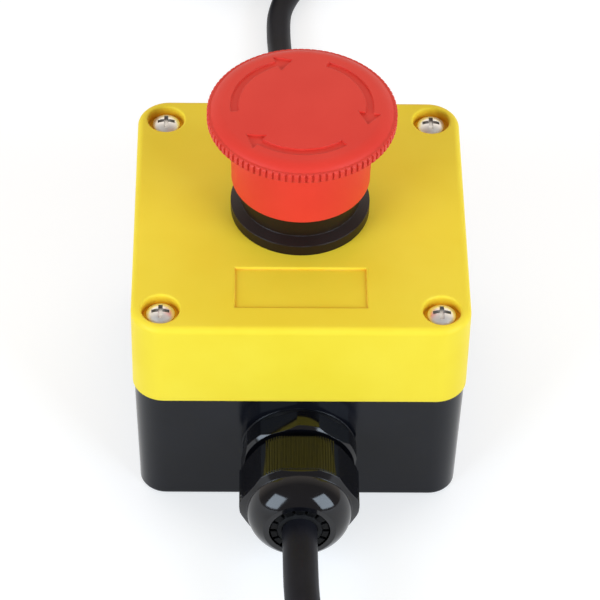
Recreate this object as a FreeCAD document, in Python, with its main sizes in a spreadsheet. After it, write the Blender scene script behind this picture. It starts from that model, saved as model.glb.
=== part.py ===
import FreeCAD, Part
import math
import os
from collections import namedtuple

import Sketcher

# Emergency stop switch: a two-part plastic box with a twist-release mushroom button, two normally closed
# contact blocks and a cable gland at each end. Millimetres and degrees. The origin is the middle of the box's
# underside, +X is to the right seen from the front gland, +Y is towards the rear gland and +Z is up.

SIZES = {
    # Box: black base and yellow lid
    "box_width": 72.0,
    "corner_radius": 7.0,
    "base_height": 31.6,
    "lid_height": 21.8,
    "lid_overhang": 0.35,
    "base_draft": 1.4,
    "base_wall": 2.6,
    "base_floor": 2.5,
    "base_edge_round": 1.0,
    "lid_wall": 2.4,
    "lid_plate": 2.6,
    "lid_edge_round": 1.4,
    "skirt_wall": 1.2,
    "seam_clearance": 0.2,
    "tongue_height": 2.0,
    "gasket_width": 0.9,
    "gasket_height": 1.2,
    # Lid screws and their posts
    "screw_diameter": 3.5,
    "screw_length": 28.0,
    "screw_head_diameter": 6.0,
    "screw_head_height": 2.2,
    "screw_clearance": 0.15,
    "cross_length": 3.8,
    "cross_width": 0.9,
    "cross_depth": 1.1,
    "recess_diameter": 8.2,
    "recess_depth": 2.6,
    "recess_round": 0.4,
    "recess_margin": 0.4,
    "post_diameter": 8.4,
    "boss_diameter": 10.6,
    # Legend recess in the lid
    "legend_width": 28.0,
    "legend_length": 11.6,
    "legend_depth": 0.55,
    "legend_centre": 23.2,
    # Mounting holes in the base floor
    "mount_inset_across": 9.0,
    "mount_inset_along": 17.0,
    "mount_hole": 4.5,
    "mount_boss": 9.0,
    "mount_boss_height": 1.2,
    # Button: collar, barrel and nut
    "button_offset": 1.5,
    "barrel_diameter": 22.0,
    "barrel_length": 15.0,
    "barrel_clearance": 0.15,
    "key_width": 2.6,
    "key_height": 1.2,
    "flange_diameter": 30.2,
    "flange_edge": 2.6,
    "bevel_step": 0.15,
    "bevel_height": 2.7,
    "neck_diameter": 26.2,
    "neck_foot": 3.9,
    "neck_top": 16.0,
    "collar_gasket_lip": 1.1,
    "collar_gasket_thickness": 0.8,
    "chamber_diameter": 20.4,
    "chamber_floor": 0.5,
    "nut_across_flats": 28.0,
    "nut_height": 5.0,
    # Mushroom head
    "cap_diameter": 40.4,
    "rim_bottom": 25.85,
    "rim_height": 2.3,
    "rim_chamfer": 0.3,
    "rib_count": 90,
    "rib_groove_width": 0.8,
    "rib_groove_depth": 0.38,
    "shoulder_step": 0.8,
    "shoulder_width": 2.6,
    "shoulder_rise": 1.3,
    "shoulder_round": 4.0,
    "dome_rise": 0.5,
    "cap_plate": 3.2,
    "skirt_gap": 0.8,
    "skirt_clearance": 0.35,
    "skirt_taper": 0.25,
    "skirt_thickness": 1.5,
    "underside_round": 3.2,
    "hub_diameter": 11.6,
    "arrow_inset": 2.45,
    "arrow_band": 1.7,
    "arrow_head_width": 4.95,
    "arrow_sweep": 75.6,
    "arrow_head_sweep": 14.3,
    "arrow_start": 187.3,
    "arrow_depth": 0.45,
    "arrow_count": 3,
    # Stem, pusher and springs inside the barrel
    "press_travel": 5.0,
    "twist_angle": 45.0,
    "stem_diameter": 8.0,
    "stem_gap": 3.5,
    "fit_clearance": 0.05,
    "sleeve_diameter": 13.6,
    "foot_gap": 1.0,
    "pusher_flange_clearance": 0.4,
    "pusher_flange_bottom": 11.0,
    "pusher_flange_thickness": 1.5,
    "socket_diameter": 11.2,
    "socket_depth": 6.0,
    "rib_width": 2.0,
    "rib_depth": 1.0,
    "twist_pin_diameter": 2.0,
    "twist_pin_height": 6.0,
    "window_margin": 18.0,
    "clip_clearance": 0.4,
    "clip_thickness": 0.7,
    "clip_groove_depth": 0.8,
    "foot_width": 18.0,
    "foot_length": 14.0,
    "foot_thickness": 2.5,
    "foot_spigot": 2.0,
    "return_spring_wire": 1.1,
    "return_spring_turns": 4.0,
    "reset_spring_gap": 1.0,
    "reset_spring_wire": 0.8,
    "reset_spring_turns": 2.0,
    # Contact carrier and contact blocks
    "carrier_wall": 1.0,
    "carrier_inset": 2.0,
    "carrier_gap": 0.4,
    "carrier_corner": 1.5,
    "foot_room": 0.5,
    "foot_room_along": 4.0,
    "block_width": 10.0,
    "block_length": 38.0,
    "block_height": 22.0,
    "block_gap": 0.4,
    "block_wall": 1.0,
    "block_roof": 2.0,
    "block_floor": 1.5,
    "chamber_length": 20.0,
    "terminal_depth": 7.0,
    "terminal_top": 2.5,
    "terminal_bottom": 13.2,
    "strip_width": 5.0,
    "strip_thickness": 1.0,
    "strip_top": 6.5,
    "strip_slot_clearance": 0.1,
    "strip_inner_end": 5.0,
    "strip_recess": 1.4,
    "tip_diameter": 3.0,
    "tip_thickness": 0.6,
    "tip_place": 6.5,
    "bridge_gap": 1.5,
    "bridge_thickness": 0.8,
    "plunger_diameter": 4.5,
    "plunger_guide_diameter": 2.4,
    "plunger_guide_length": 3.3,
    "contact_spring_diameter": 4.0,
    "contact_spring_wire": 0.5,
    "contact_spring_turns": 6.0,
    "terminal_screw_diameter": 3.0,
    "terminal_head_diameter": 5.2,
    "terminal_head_height": 1.7,
    "clamp_plate_width": 5.4,
    "clamp_plate_thickness": 0.8,
    # Cable glands
    "gland_height": 16.5,
    "gland_pad_margin": 0.7,
    "gland_pad_step": 0.3,
    "gland_thread_diameter": 20.0,
    "gland_thread_length": 10.0,
    "gland_hole_clearance": 0.15,
    "gland_washer_thickness": 0.9,
    "gland_hex_step": 2.0,
    "gland_hex_thickness": 4.8,
    "gland_hex_chamfer": 0.6,
    "gland_hex_turn": 8.5,
    "gland_neck_length": 7.5,
    "gland_bore_diameter": 12.6,
    "gland_nut_gap": 1.6,
    "gland_corner_step": 0.7,
    "gland_nut_hex_length": 10.8,
    "gland_dome_step": 0.75,
    "gland_dome_length": 5.8,
    "gland_dome_round": 7.0,
    "gland_mouth_diameter": 13.1,
    "gland_mouth_wall": 1.2,
    "locknut_step": 3.0,
    "locknut_height": 5.0,
    "claw_outer_diameter": 15.6,
    "claw_inner_diameter": 13.0,
    "claw_taper": 4.0,
    "claw_recess": 0.25,
    "claw_tip_clearance": 0.35,
    "claw_slots": 14,
    "claw_slot_width": 0.8,
    "seal_clearance": 0.15,
    "seal_length": 9.0,
    # Leads
    "front_lead_diameter": 7.5,
    "rear_lead_diameter": 6.1,
    "front_coil_radius": 37.5,
    "rear_coil_radius": 31.0,
    "coil_layers": 2,
    "tie_angle": 110.0,
    "tail_angle": 165.0,
    "tail_sweep": 70.0,
    "tail_sunk": 0.4,
    "tie_width": 7.0,
    "tie_thickness": 0.8,
    "core_diameter": 2.2,
    "core_pitch": 2.4,
    "core_length": 40.0,
    "ferrule_diameter": 1.5,
    "ferrule_length": 9.0,
    # Earth splice
    "splice_width": 8.0,
    "splice_length": 18.0,
    "splice_height": 6.0,
    "splice_offset": 21.0,
}

doc = FreeCAD.newDocument("emergency_stop_switch")
sheet = doc.addObject("Spreadsheet::Sheet", "sizes")
for row, (alias, number) in enumerate(SIZES.items(), start=1):
    sheet.set(f"A{row}", alias)
    sheet.set(f"B{row}", str(number))
    sheet.setAlias(f"B{row}", alias)
doc.recompute()


class Size:
    """A length or angle worked out from the sheet: its expression for bindings and its value for checks."""

    def __init__(self, text, value):
        self.text = text
        self.value = value

    def __add__(self, other):
        return join(self, "+", other, self.value + value_of(other))

    def __radd__(self, other):
        return join(other, "+", self, value_of(other) + self.value)

    def __sub__(self, other):
        return join(self, "-", other, self.value - value_of(other))

    def __rsub__(self, other):
        return join(other, "-", self, value_of(other) - self.value)

    def __mul__(self, other):
        return join(self, "*", other, self.value * value_of(other))

    def __rmul__(self, other):
        return join(other, "*", self, value_of(other) * self.value)

    def __truediv__(self, other):
        return join(self, "/", other, self.value / value_of(other))

    def __neg__(self):
        return Size(f"(0 - {self.text})", -self.value)

    def __float__(self):
        return float(self.value)


def value_of(size):
    return float(size)


def text_of(size):
    return size.text if isinstance(size, Size) else repr(float(size))


def join(left, sign, right, value):
    return Size(f"({text_of(left)} {sign} {text_of(right)})", value)


def sine(angle):
    return Size(f"sin({text_of(angle)})", math.sin(math.radians(value_of(angle))))


def cosine(angle):
    return Size(f"cos({text_of(angle)})", math.cos(math.radians(value_of(angle))))


def tangent(angle):
    return Size(f"tan({text_of(angle)})", math.tan(math.radians(value_of(angle))))


def larger(first, second):
    return Size(f"max({text_of(first)}; {text_of(second)})", max(value_of(first), value_of(second)))


def smaller(first, second):
    return Size(f"min({text_of(first)}; {text_of(second)})", min(value_of(first), value_of(second)))


class Sheet:
    """Reads the sheet's cells by alias, as sizes."""

    def __getattr__(self, alias):
        return Size(f"sizes.{alias}", float(sheet.get(alias)))


S = Sheet()
Circle = namedtuple("Circle", "across up radius")
HALF_TURN = 180.0
FULL_TURN = 360.0
CUT_PAST = 1.0
TOLERANCE = 0.01
SMALLEST_ROUND = 0.3
WIRE_SIDES = 6
UPRIGHT = FreeCAD.Vector(0, 0, 1)

# Levels and half widths that several pieces share
lid_half = S.box_width / 2
base_half = lid_half - S.lid_overhang
foot_half = base_half - S.base_height * tangent(S.base_draft)
room_half = base_half - S.base_wall
lid_room_half = lid_half - S.lid_wall
tongue_half = lid_half - S.skirt_wall - S.seam_clearance
seam = S.base_height
lid_top = S.base_height + S.lid_height
gland_flat = S.gland_thread_diameter / 2 + S.gland_hex_step
gland_corner = gland_flat + S.gland_corner_step
gland_pad = smaller(gland_flat + S.gland_pad_step, seam - S.gland_height - S.gland_pad_margin)
rebate_height = S.tongue_height + S.gasket_height
screw_inset = S.lid_edge_round + S.recess_diameter / 2 + S.recess_round + S.recess_margin
screw_place = lid_half - screw_inset
screw_seat = lid_top - S.recess_depth

# Heights of the button's pieces above the lid's top face, on the button's axis
barrel_radius = S.barrel_diameter / 2
sleeve_radius = S.sleeve_diameter / 2
guide_radius = sleeve_radius + S.fit_clearance
stem_radius = S.stem_diameter / 2
bore_radius = stem_radius + S.fit_clearance
hub_bottom = S.pusher_flange_bottom + S.pusher_flange_thickness
rim_top = S.rim_bottom + S.rim_height
shoulder_foot = S.cap_diameter / 2 - S.shoulder_step
shoulder_top = rim_top + S.shoulder_rise
dome_edge = shoulder_foot - S.shoulder_width
dome_top = shoulder_top + S.dome_rise
cap_ceiling = dome_top - S.cap_plate
pusher_bottom = S.barrel_length + S.foot_gap
stem_bottom = pusher_bottom - S.stem_gap
foot_bottom = -(pusher_bottom + S.foot_thickness)
block_top = foot_bottom - S.press_travel - S.foot_room
socket_roof = S.socket_depth - pusher_bottom

nodes = []


def keep(thing, label):
    """Names a finished sub-part and lists it for writing."""
    thing.Label = label
    nodes.append(thing)
    return thing


def bind(thing, name, size):
    """Ties a property to the sheet, or sets it where it is a plain number."""
    if isinstance(size, Size):
        thing.setExpression(name, size.text)
    else:
        setattr(thing, name, size)


def place(thing, x=0.0, y=0.0, z=0.0, rotation=None):
    """Puts a piece at a point worked out from the sheet."""
    turn = rotation or FreeCAD.Rotation()
    thing.Placement = FreeCAD.Placement(FreeCAD.Vector(value_of(x), value_of(y), value_of(z)), turn)
    for axis, size in (("x", x), ("y", y), ("z", z)):
        if isinstance(size, Size):
            thing.setExpression(f"Placement.Base.{axis}", size.text)
    return thing


def new_body(name):
    return doc.addObject("PartDesign::Body", name)


def origin_feature(body, role):
    return next(item for item in body.Origin.OriginFeatures if item.Role == role)


def locate(drawing, geometry, point, across, up):
    """Fixes a point of a sketch at its distances from the sketch's origin."""
    for kind, size, axis in (("DistanceX", across, -2), ("DistanceY", up, -1)):
        if abs(value_of(size)) < 1e-9:
            drawing.addConstraint(Sketcher.Constraint("PointOnObject", geometry, point, axis))
            continue
        if value_of(size) > 0:
            measure = size
            ends = (-1, 1, geometry, point)
        else:
            measure = -size
            ends = (geometry, point, -1, 1)
        index = drawing.addConstraint(Sketcher.Constraint(kind, *ends, value_of(measure)))
        if isinstance(measure, Size):
            drawing.setExpression(f"Constraints[{index}]", measure.text)


def fix_radius(drawing, geometry, radius):
    index = drawing.addConstraint(Sketcher.Constraint("Radius", geometry, value_of(radius)))
    if isinstance(radius, Size):
        drawing.setExpression(f"Constraints[{index}]", radius.text)


def arc_between(start, end, radius):
    """The short arc from start to end; a positive radius turns left, a negative one right."""
    chord = end - start
    middle = (start + end) * 0.5
    left = FreeCAD.Vector(-chord.y, chord.x, 0).normalize()
    rise = math.sqrt(max(radius * radius - chord.Length ** 2 / 4, 0.0))
    centre = middle + left * math.copysign(rise, radius)
    first, last = (start, end) if radius > 0 else (end, start)
    from_angle = math.atan2(first.y - centre.y, first.x - centre.x)
    to_angle = math.atan2(last.y - centre.y, last.x - centre.x)
    circle = Part.Circle(centre, FreeCAD.Vector(0, 0, 1), abs(radius))
    return Part.ArcOfCircle(circle, from_angle, to_angle)


def draw_outline(drawing, corners):
    """A closed outline of corners (across, up); with a radius, the edge that arrives there is an arc."""
    points = [FreeCAD.Vector(value_of(corner[0]), value_of(corner[1]), 0) for corner in corners]
    edges = []
    for index in range(len(corners)):
        after = (index + 1) % len(corners)
        radius = corners[after][2] if len(corners[after]) > 2 else None
        if radius is None:
            geometry = drawing.addGeometry(Part.LineSegment(points[index], points[after]), False)
            edges.append((geometry, 1, 2))
            continue
        geometry = drawing.addGeometry(arc_between(points[index], points[after], value_of(radius)), False)
        fix_radius(drawing, geometry, radius if value_of(radius) > 0 else -radius)
        edges.append((geometry, 1, 2) if value_of(radius) > 0 else (geometry, 2, 1))
    for index, (geometry, _, end) in enumerate(edges):
        following, start, _ = edges[(index + 1) % len(edges)]
        drawing.addConstraint(Sketcher.Constraint("Coincident", geometry, end, following, start))
    for (geometry, start, _), corner in zip(edges, corners):
        locate(drawing, geometry, start, corner[0], corner[1])


def draw_circle(drawing, circle):
    centre = FreeCAD.Vector(value_of(circle.across), value_of(circle.up), 0)
    shape = Part.Circle(centre, FreeCAD.Vector(0, 0, 1), value_of(circle.radius))
    geometry = drawing.addGeometry(shape, False)
    fix_radius(drawing, geometry, circle.radius)
    locate(drawing, geometry, 3, circle.across, circle.up)


def draw(body, name, plane, outlines, lift=None):
    """A sketch on one of the body's own planes, lifted along the plane's normal."""
    drawing = body.newObject("Sketcher::SketchObject", name)
    drawing.AttachmentSupport = (origin_feature(body, plane), [""])
    drawing.MapMode = "FlatFace"
    if lift is not None:
        bind(drawing, "AttachmentOffset.Base.z", lift)
    for outline in outlines:
        if isinstance(outline, Circle):
            draw_circle(drawing, outline)
        else:
            draw_outline(drawing, outline)
    return drawing


def pad(body, drawing, length, back=False):
    feature = body.newObject("PartDesign::Pad", f"{drawing.Name}_pad")
    feature.Profile = drawing
    bind(feature, "Length", length)
    feature.Reversed = back
    return feature


def pocket(body, drawing, depth, back=False):
    feature = body.newObject("PartDesign::Pocket", f"{drawing.Name}_pocket")
    feature.Profile = drawing
    bind(feature, "Length", depth)
    feature.Reversed = back
    return feature


def turn(body, name, corners):
    """Revolves an outline of (radius, height) corners about the body's Z axis."""
    drawing = draw(body, name, "XZ_Plane", [corners])
    feature = body.newObject("PartDesign::Revolution", f"{name}_turned")
    feature.Profile = drawing
    feature.ReferenceAxis = (drawing, ["V_Axis"])
    feature.Angle = FULL_TURN
    return feature


def turned_body(name, corners):
    body = new_body(name)
    turn(body, f"{name}_profile", corners)
    return body


def repeat_around(body, feature, count):
    pattern = body.newObject("PartDesign::PolarPattern", f"{feature.Name}_around")
    pattern.Originals = [feature]
    pattern.Axis = (origin_feature(body, "Z_Axis"), [""])
    pattern.Angle = FULL_TURN
    bind(pattern, "Occurrences", count)
    body.Tip = pattern
    return pattern


def round_edges(body, name, radius, test):
    """Fillets those edges of the body's last feature that pass a test."""
    doc.recompute()
    base = body.Tip
    edges = [f"Edge{index}" for index, edge in enumerate(base.Shape.Edges, start=1) if test(edge)]
    feature = body.newObject("PartDesign::Fillet", name)
    feature.Base = (base, edges)
    bind(feature, "Radius", radius)
    return feature


def edges_at(height):
    """A test for edges that lie wholly at one height."""

    def lies_there(edge):
        box = edge.BoundBox
        level = value_of(height)
        return abs(box.ZMin - level) < TOLERANCE and abs(box.ZMax - level) < TOLERANCE

    return lies_there


def rectangle(width, length, x=0.0, y=0.0):
    """Corners of a rectangle round a point."""
    right = x + width / 2
    left = x - width / 2
    far = y + length / 2
    near = y - length / 2
    return [(right, near), (right, far), (left, far), (left, near)]


def rounded_square(half, radius):
    flat = half - radius
    return [
        (half, -flat, radius), (half, flat), (flat, half, radius), (-flat, half),
        (-half, flat, radius), (-half, -flat), (-flat, -half, radius), (flat, -half),
    ]


def hexagon(across_flats, turned=0.0):
    """Corners of a hexagon; turned by 0 it has a corner towards +X and flats towards +Y and -Y."""
    radius = across_flats / 2 / cosine(FULL_TURN / 12)
    angles = [turned + FULL_TURN / 6 * step for step in range(6)]
    return [(radius * cosine(angle), radius * sine(angle)) for angle in angles]


def four_places(across, along, radius):
    """Four equal circles at the corners of a rectangle."""
    return [Circle(sx * across, sy * along, radius) for sx in (-1, 1) for sy in (-1, 1)]


def sector(inner, outer, first, last):
    """A slice of a ring between two angles, under half a turn wide."""
    return [
        (inner * cosine(first), inner * sine(first), -inner),
        (outer * cosine(first), outer * sine(first)),
        (outer * cosine(last), outer * sine(last), outer),
        (inner * cosine(last), inner * sine(last)),
    ]


def box(name, width, length, height, x, y, z):
    """A block whose middle is over (x, y) and whose underside is at z."""
    block = doc.addObject("Part::Box", name)
    bind(block, "Length", width)
    bind(block, "Width", length)
    bind(block, "Height", height)
    return place(block, x - width / 2, y - length / 2, z)


def rod(name, radius, height, x, y, z):
    """An upright cylinder standing at a point."""
    cylinder = doc.addObject("Part::Cylinder", name)
    bind(cylinder, "Radius", radius)
    bind(cylinder, "Height", height)
    return place(cylinder, x, y, z)


def fuse(name, pieces):
    union = doc.addObject("Part::MultiFuse", name)
    union.Shapes = pieces
    return union


def cut(name, base, tool):
    difference = doc.addObject("Part::Cut", name)
    difference.Base = base
    difference.Tool = tool
    return difference


def group(name, pieces):
    """Separate solids that share one node."""
    compound = doc.addObject("Part::Compound", name)
    compound.Links = pieces
    return compound


def spring(name, diameter, wire, bottom, top, turns, x, y, z):
    """A compression spring between two faces, of wire with few sides, with its axis through (x, y)."""
    height = top - bottom - wire - 2 * S.fit_clearance
    helix = doc.addObject("Part::Helix", f"{name}_helix")
    bind(helix, "Radius", diameter / 2)
    bind(helix, "Height", height)
    bind(helix, "Pitch", height / turns)
    section = doc.addObject("Part::RegularPolygon", f"{name}_section")
    section.Polygon = WIRE_SIDES
    bind(section, "Circumradius", wire / 2)
    on_edge = FreeCAD.Rotation(FreeCAD.Vector(1, 0, 0), HALF_TURN / 2)
    place(section, diameter / 2, 0.0, 0.0, on_edge)
    sweep = doc.addObject("Part::Sweep", name)
    sweep.Sections = [section]
    sweep.Spine = (helix, [])
    sweep.Solid = True
    sweep.Frenet = True
    return place(sweep, x, y, z + bottom + wire / 2 + S.fit_clearance)


def make_base():
    """Black lower shell: drafted walls, tongue, screw posts, gland pads and holes, mounting holes."""
    body = new_body("base_shell")
    rim_round = S.corner_radius - S.lid_overhang
    foot_round = larger(rim_round - (base_half - foot_half), SMALLEST_ROUND)
    foot = draw(body, "base_foot", "XY_Plane", [rounded_square(foot_half, foot_round)])
    rim = draw(body, "base_rim", "XY_Plane", [rounded_square(base_half, rim_round)], seam)
    block = body.newObject("PartDesign::AdditiveLoft", "base_block")
    block.Profile = foot
    block.Sections = [rim]
    block.Ruled = True
    round_edges(body, "base_foot_round", S.base_edge_round, edges_at(0.0))
    tongue_round = larger(S.corner_radius - (lid_half - tongue_half), SMALLEST_ROUND)
    tongue = draw(body, "tongue", "XY_Plane", [rounded_square(tongue_half, tongue_round)], seam)
    pad(body, tongue, S.tongue_height)
    room_round = larger(rim_round - S.base_wall, SMALLEST_ROUND)
    tongue_top = seam + S.tongue_height
    room = draw(body, "base_room", "XY_Plane", [rounded_square(room_half, room_round)], tongue_top)
    pocket(body, room, tongue_top - S.base_floor)
    posts = four_places(screw_place, screw_place, S.post_diameter / 2)
    pad(body, draw(body, "posts", "XY_Plane", posts, S.base_floor), seam - S.base_floor)
    mounts_across = lid_half - S.mount_inset_across
    mounts_along = lid_half - S.mount_inset_along
    bosses = four_places(mounts_across, mounts_along, S.mount_boss / 2)
    pad(body, draw(body, "mount_bosses", "XY_Plane", bosses, S.base_floor), S.mount_boss_height)
    pad_face = [Circle(0.0, S.gland_height, gland_pad)]
    pad(body, draw(body, "front_gland_pad", "XZ_Plane", pad_face, room_half), S.base_wall)
    pad(body, draw(body, "rear_gland_pad", "XZ_Plane", pad_face, -base_half), S.base_wall)
    bore = S.screw_diameter / 2 + S.fit_clearance
    pilot = draw(body, "pilot_holes", "XY_Plane", four_places(screw_place, screw_place, bore), tongue_top)
    pocket(body, pilot, tongue_top - S.base_floor)
    gland_hole = [Circle(0.0, S.gland_height, S.gland_thread_diameter / 2 + S.gland_hole_clearance)]
    pocket(body, draw(body, "gland_holes", "XZ_Plane", gland_hole, base_half), 2 * base_half)
    mounts = four_places(mounts_across, mounts_along, S.mount_hole / 2)
    drill = draw(body, "mount_holes", "XY_Plane", mounts)
    pocket(body, drill, S.base_floor + S.mount_boss_height + CUT_PAST, back=True)
    keep(body, "base_shell")


def make_lid():
    """Yellow upper shell: rounded top, screw bosses and recesses, legend recess, keyed button hole."""
    body = new_body("lid_shell")
    outline = rounded_square(lid_half, S.corner_radius)
    pad(body, draw(body, "lid_block", "XY_Plane", [outline], seam), S.lid_height)
    round_edges(body, "lid_top_round", S.lid_edge_round, edges_at(lid_top))
    room_round = larger(S.corner_radius - S.lid_wall, SMALLEST_ROUND)
    room_height = S.lid_height - S.lid_plate
    room = draw(body, "lid_room", "XY_Plane", [rounded_square(lid_room_half, room_round)], seam)
    pocket(body, room, room_height, back=True)
    bosses = four_places(screw_place, screw_place, S.boss_diameter / 2)
    pad(body, draw(body, "lid_bosses", "XY_Plane", bosses, seam), room_height + S.lid_plate / 2)
    rebate_outer = lid_half - S.skirt_wall
    rebate_inner = room_half - S.seam_clearance
    rebate = [
        rounded_square(rebate_outer, larger(S.corner_radius - S.skirt_wall, SMALLEST_ROUND)),
        rounded_square(rebate_inner, larger(S.corner_radius - (lid_half - rebate_inner), SMALLEST_ROUND)),
    ]
    pocket(body, draw(body, "lid_rebate", "XY_Plane", rebate, seam), rebate_height, back=True)
    recesses = four_places(screw_place, screw_place, S.recess_diameter / 2)
    pocket(body, draw(body, "screw_recesses", "XY_Plane", recesses, lid_top), S.recess_depth)
    passages = four_places(screw_place, screw_place, S.screw_diameter / 2 + S.screw_clearance)
    pocket(body, draw(body, "screw_passages", "XY_Plane", passages, lid_top), S.lid_height)
    hole = [Circle(0.0, S.button_offset, barrel_radius + S.barrel_clearance)]
    pocket(body, draw(body, "button_hole", "XY_Plane", hole, lid_top), S.lid_plate + CUT_PAST)
    key_reach = barrel_radius + S.key_height + S.barrel_clearance
    notch_width = S.key_width + 2 * S.barrel_clearance
    notch = rectangle(notch_width, key_reach, 0.0, S.button_offset + key_reach / 2)
    pocket(body, draw(body, "key_notch", "XY_Plane", [notch], lid_top), S.lid_plate + CUT_PAST)
    legend = rectangle(S.legend_width, S.legend_length, 0.0, -S.legend_centre)
    pocket(body, draw(body, "legend_recess", "XY_Plane", [legend], lid_top), S.legend_depth)
    rim = S.recess_diameter / 2

    def is_recess_rim(edge):
        if isinstance(edge.Curve, Part.Circle):
            on_rim = abs(edge.Curve.Radius - value_of(rim)) < TOLERANCE
        else:
            from_legend = abs(edge.CenterOfMass.y + value_of(S.legend_centre))
            on_rim = from_legend < value_of(S.legend_length) / 2 + TOLERANCE
        return on_rim and edges_at(lid_top)(edge)

    round_edges(body, "recess_rounds", S.recess_round, is_recess_rim)
    keep(body, "lid_shell")


def make_lid_gasket():
    """Square-section seal that the tongue presses into the lid's rebate."""
    body = new_body("lid_gasket")
    outer = tongue_half - S.fit_clearance
    inner = outer - S.gasket_width
    outer_round = larger(S.corner_radius - (lid_half - outer), SMALLEST_ROUND)
    inner_round = larger(outer_round - S.gasket_width, SMALLEST_ROUND)
    outlines = [rounded_square(outer, outer_round), rounded_square(inner, inner_round)]
    pad(body, draw(body, "gasket_ring", "XY_Plane", outlines, seam + S.tongue_height), S.gasket_height)
    keep(body, "lid_gasket")


def plus_sign(length, width):
    """Corners of a cross-shaped recess."""
    arm = length / 2
    half = width / 2
    return [
        (arm, -half), (arm, half), (half, half), (half, arm), (-half, arm), (-half, half),
        (-arm, half), (-arm, -half), (-half, -half), (-half, -arm), (half, -arm), (half, -half),
    ]


def make_lid_screws():
    """Four pan-head screws with a cross recess, one in each corner of the lid."""
    shank = S.screw_diameter / 2
    head = S.screw_head_diameter / 2
    edge = S.screw_head_height / 2
    crown = S.screw_head_height - edge
    crown_radius = (head * head + crown * crown) / (2 * crown)
    point = shank / 2
    screws = []
    for column in (-1, 1):
        for line in (-1, 1):
            name = f"lid_screw_{len(screws) + 1}"
            body = turned_body(name, [
                (0.0, -S.screw_length), (point, -S.screw_length), (shank, shank - S.screw_length),
                (shank, 0.0), (head, 0.0), (head, edge), (0.0, S.screw_head_height, crown_radius),
            ])
            cross = plus_sign(S.cross_length, S.cross_width)
            recess = draw(body, f"{name}_cross", "XY_Plane", [cross], S.screw_head_height)
            pocket(body, recess, S.cross_depth)
            screws.append(place(body, column * screw_place, line * screw_place, screw_seat))
    keep(group("lid_screws", screws), "lid_screws")


def on_button_axis(thing):
    """Local height 0 is the lid's top face, on the button's axis."""
    return place(thing, 0.0, S.button_offset, lid_top)


def make_collar():
    """Black collar: flange, sloped foot, neck under the cap's skirt, and the barrel through the lid."""
    flange = S.flange_diameter / 2
    neck = S.neck_diameter / 2
    gasket = flange - S.collar_gasket_lip
    chamber = S.chamber_diameter / 2
    body = turned_body("bezel_collar", [
        (guide_radius, -S.barrel_length), (barrel_radius, -S.barrel_length),
        (barrel_radius, S.collar_gasket_thickness), (gasket, S.collar_gasket_thickness), (gasket, 0.0),
        (flange, 0.0), (flange, S.flange_edge), (flange - S.bevel_step, S.bevel_height), (neck, S.neck_foot),
        (neck, S.neck_top), (chamber, S.neck_top), (chamber, S.chamber_floor),
        (guide_radius, S.chamber_floor),
    ])
    key = rectangle(S.key_width, S.key_height * 2, 0.0, barrel_radius)
    pad(body, draw(body, "collar_key", "XY_Plane", [key]), S.lid_plate, back=True)
    way_width = S.rib_width + 2 * S.fit_clearance
    way_reach = sleeve_radius + S.rib_depth + S.fit_clearance
    way = rectangle(way_width, way_reach, 0.0, -way_reach / 2)
    keyway = draw(body, "pusher_keyway", "XY_Plane", [way], S.chamber_floor + CUT_PAST / 2)
    pocket(body, keyway, S.barrel_length + S.chamber_floor + CUT_PAST)
    keep(on_button_axis(body), "bezel_collar")


def make_collar_gasket():
    """Flat rubber ring in the flange's groove."""
    inner = barrel_radius + S.barrel_clearance
    outer = S.flange_diameter / 2 - S.collar_gasket_lip - S.fit_clearance
    body = turned_body("collar_gasket", [
        (inner, 0.0), (outer, 0.0), (outer, S.collar_gasket_thickness), (inner, S.collar_gasket_thickness),
    ])
    keep(on_button_axis(body), "collar_gasket")


def make_collar_nut():
    """Hexagon nut that clamps the collar against the underside of the lid."""
    body = new_body("collar_nut")
    ring = [hexagon(S.nut_across_flats), Circle(0.0, 0.0, barrel_radius + S.fit_clearance)]
    pad(body, draw(body, "nut_ring", "XY_Plane", ring, -S.lid_plate), S.nut_height, back=True)
    keep(on_button_axis(body), "collar_nut")


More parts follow.
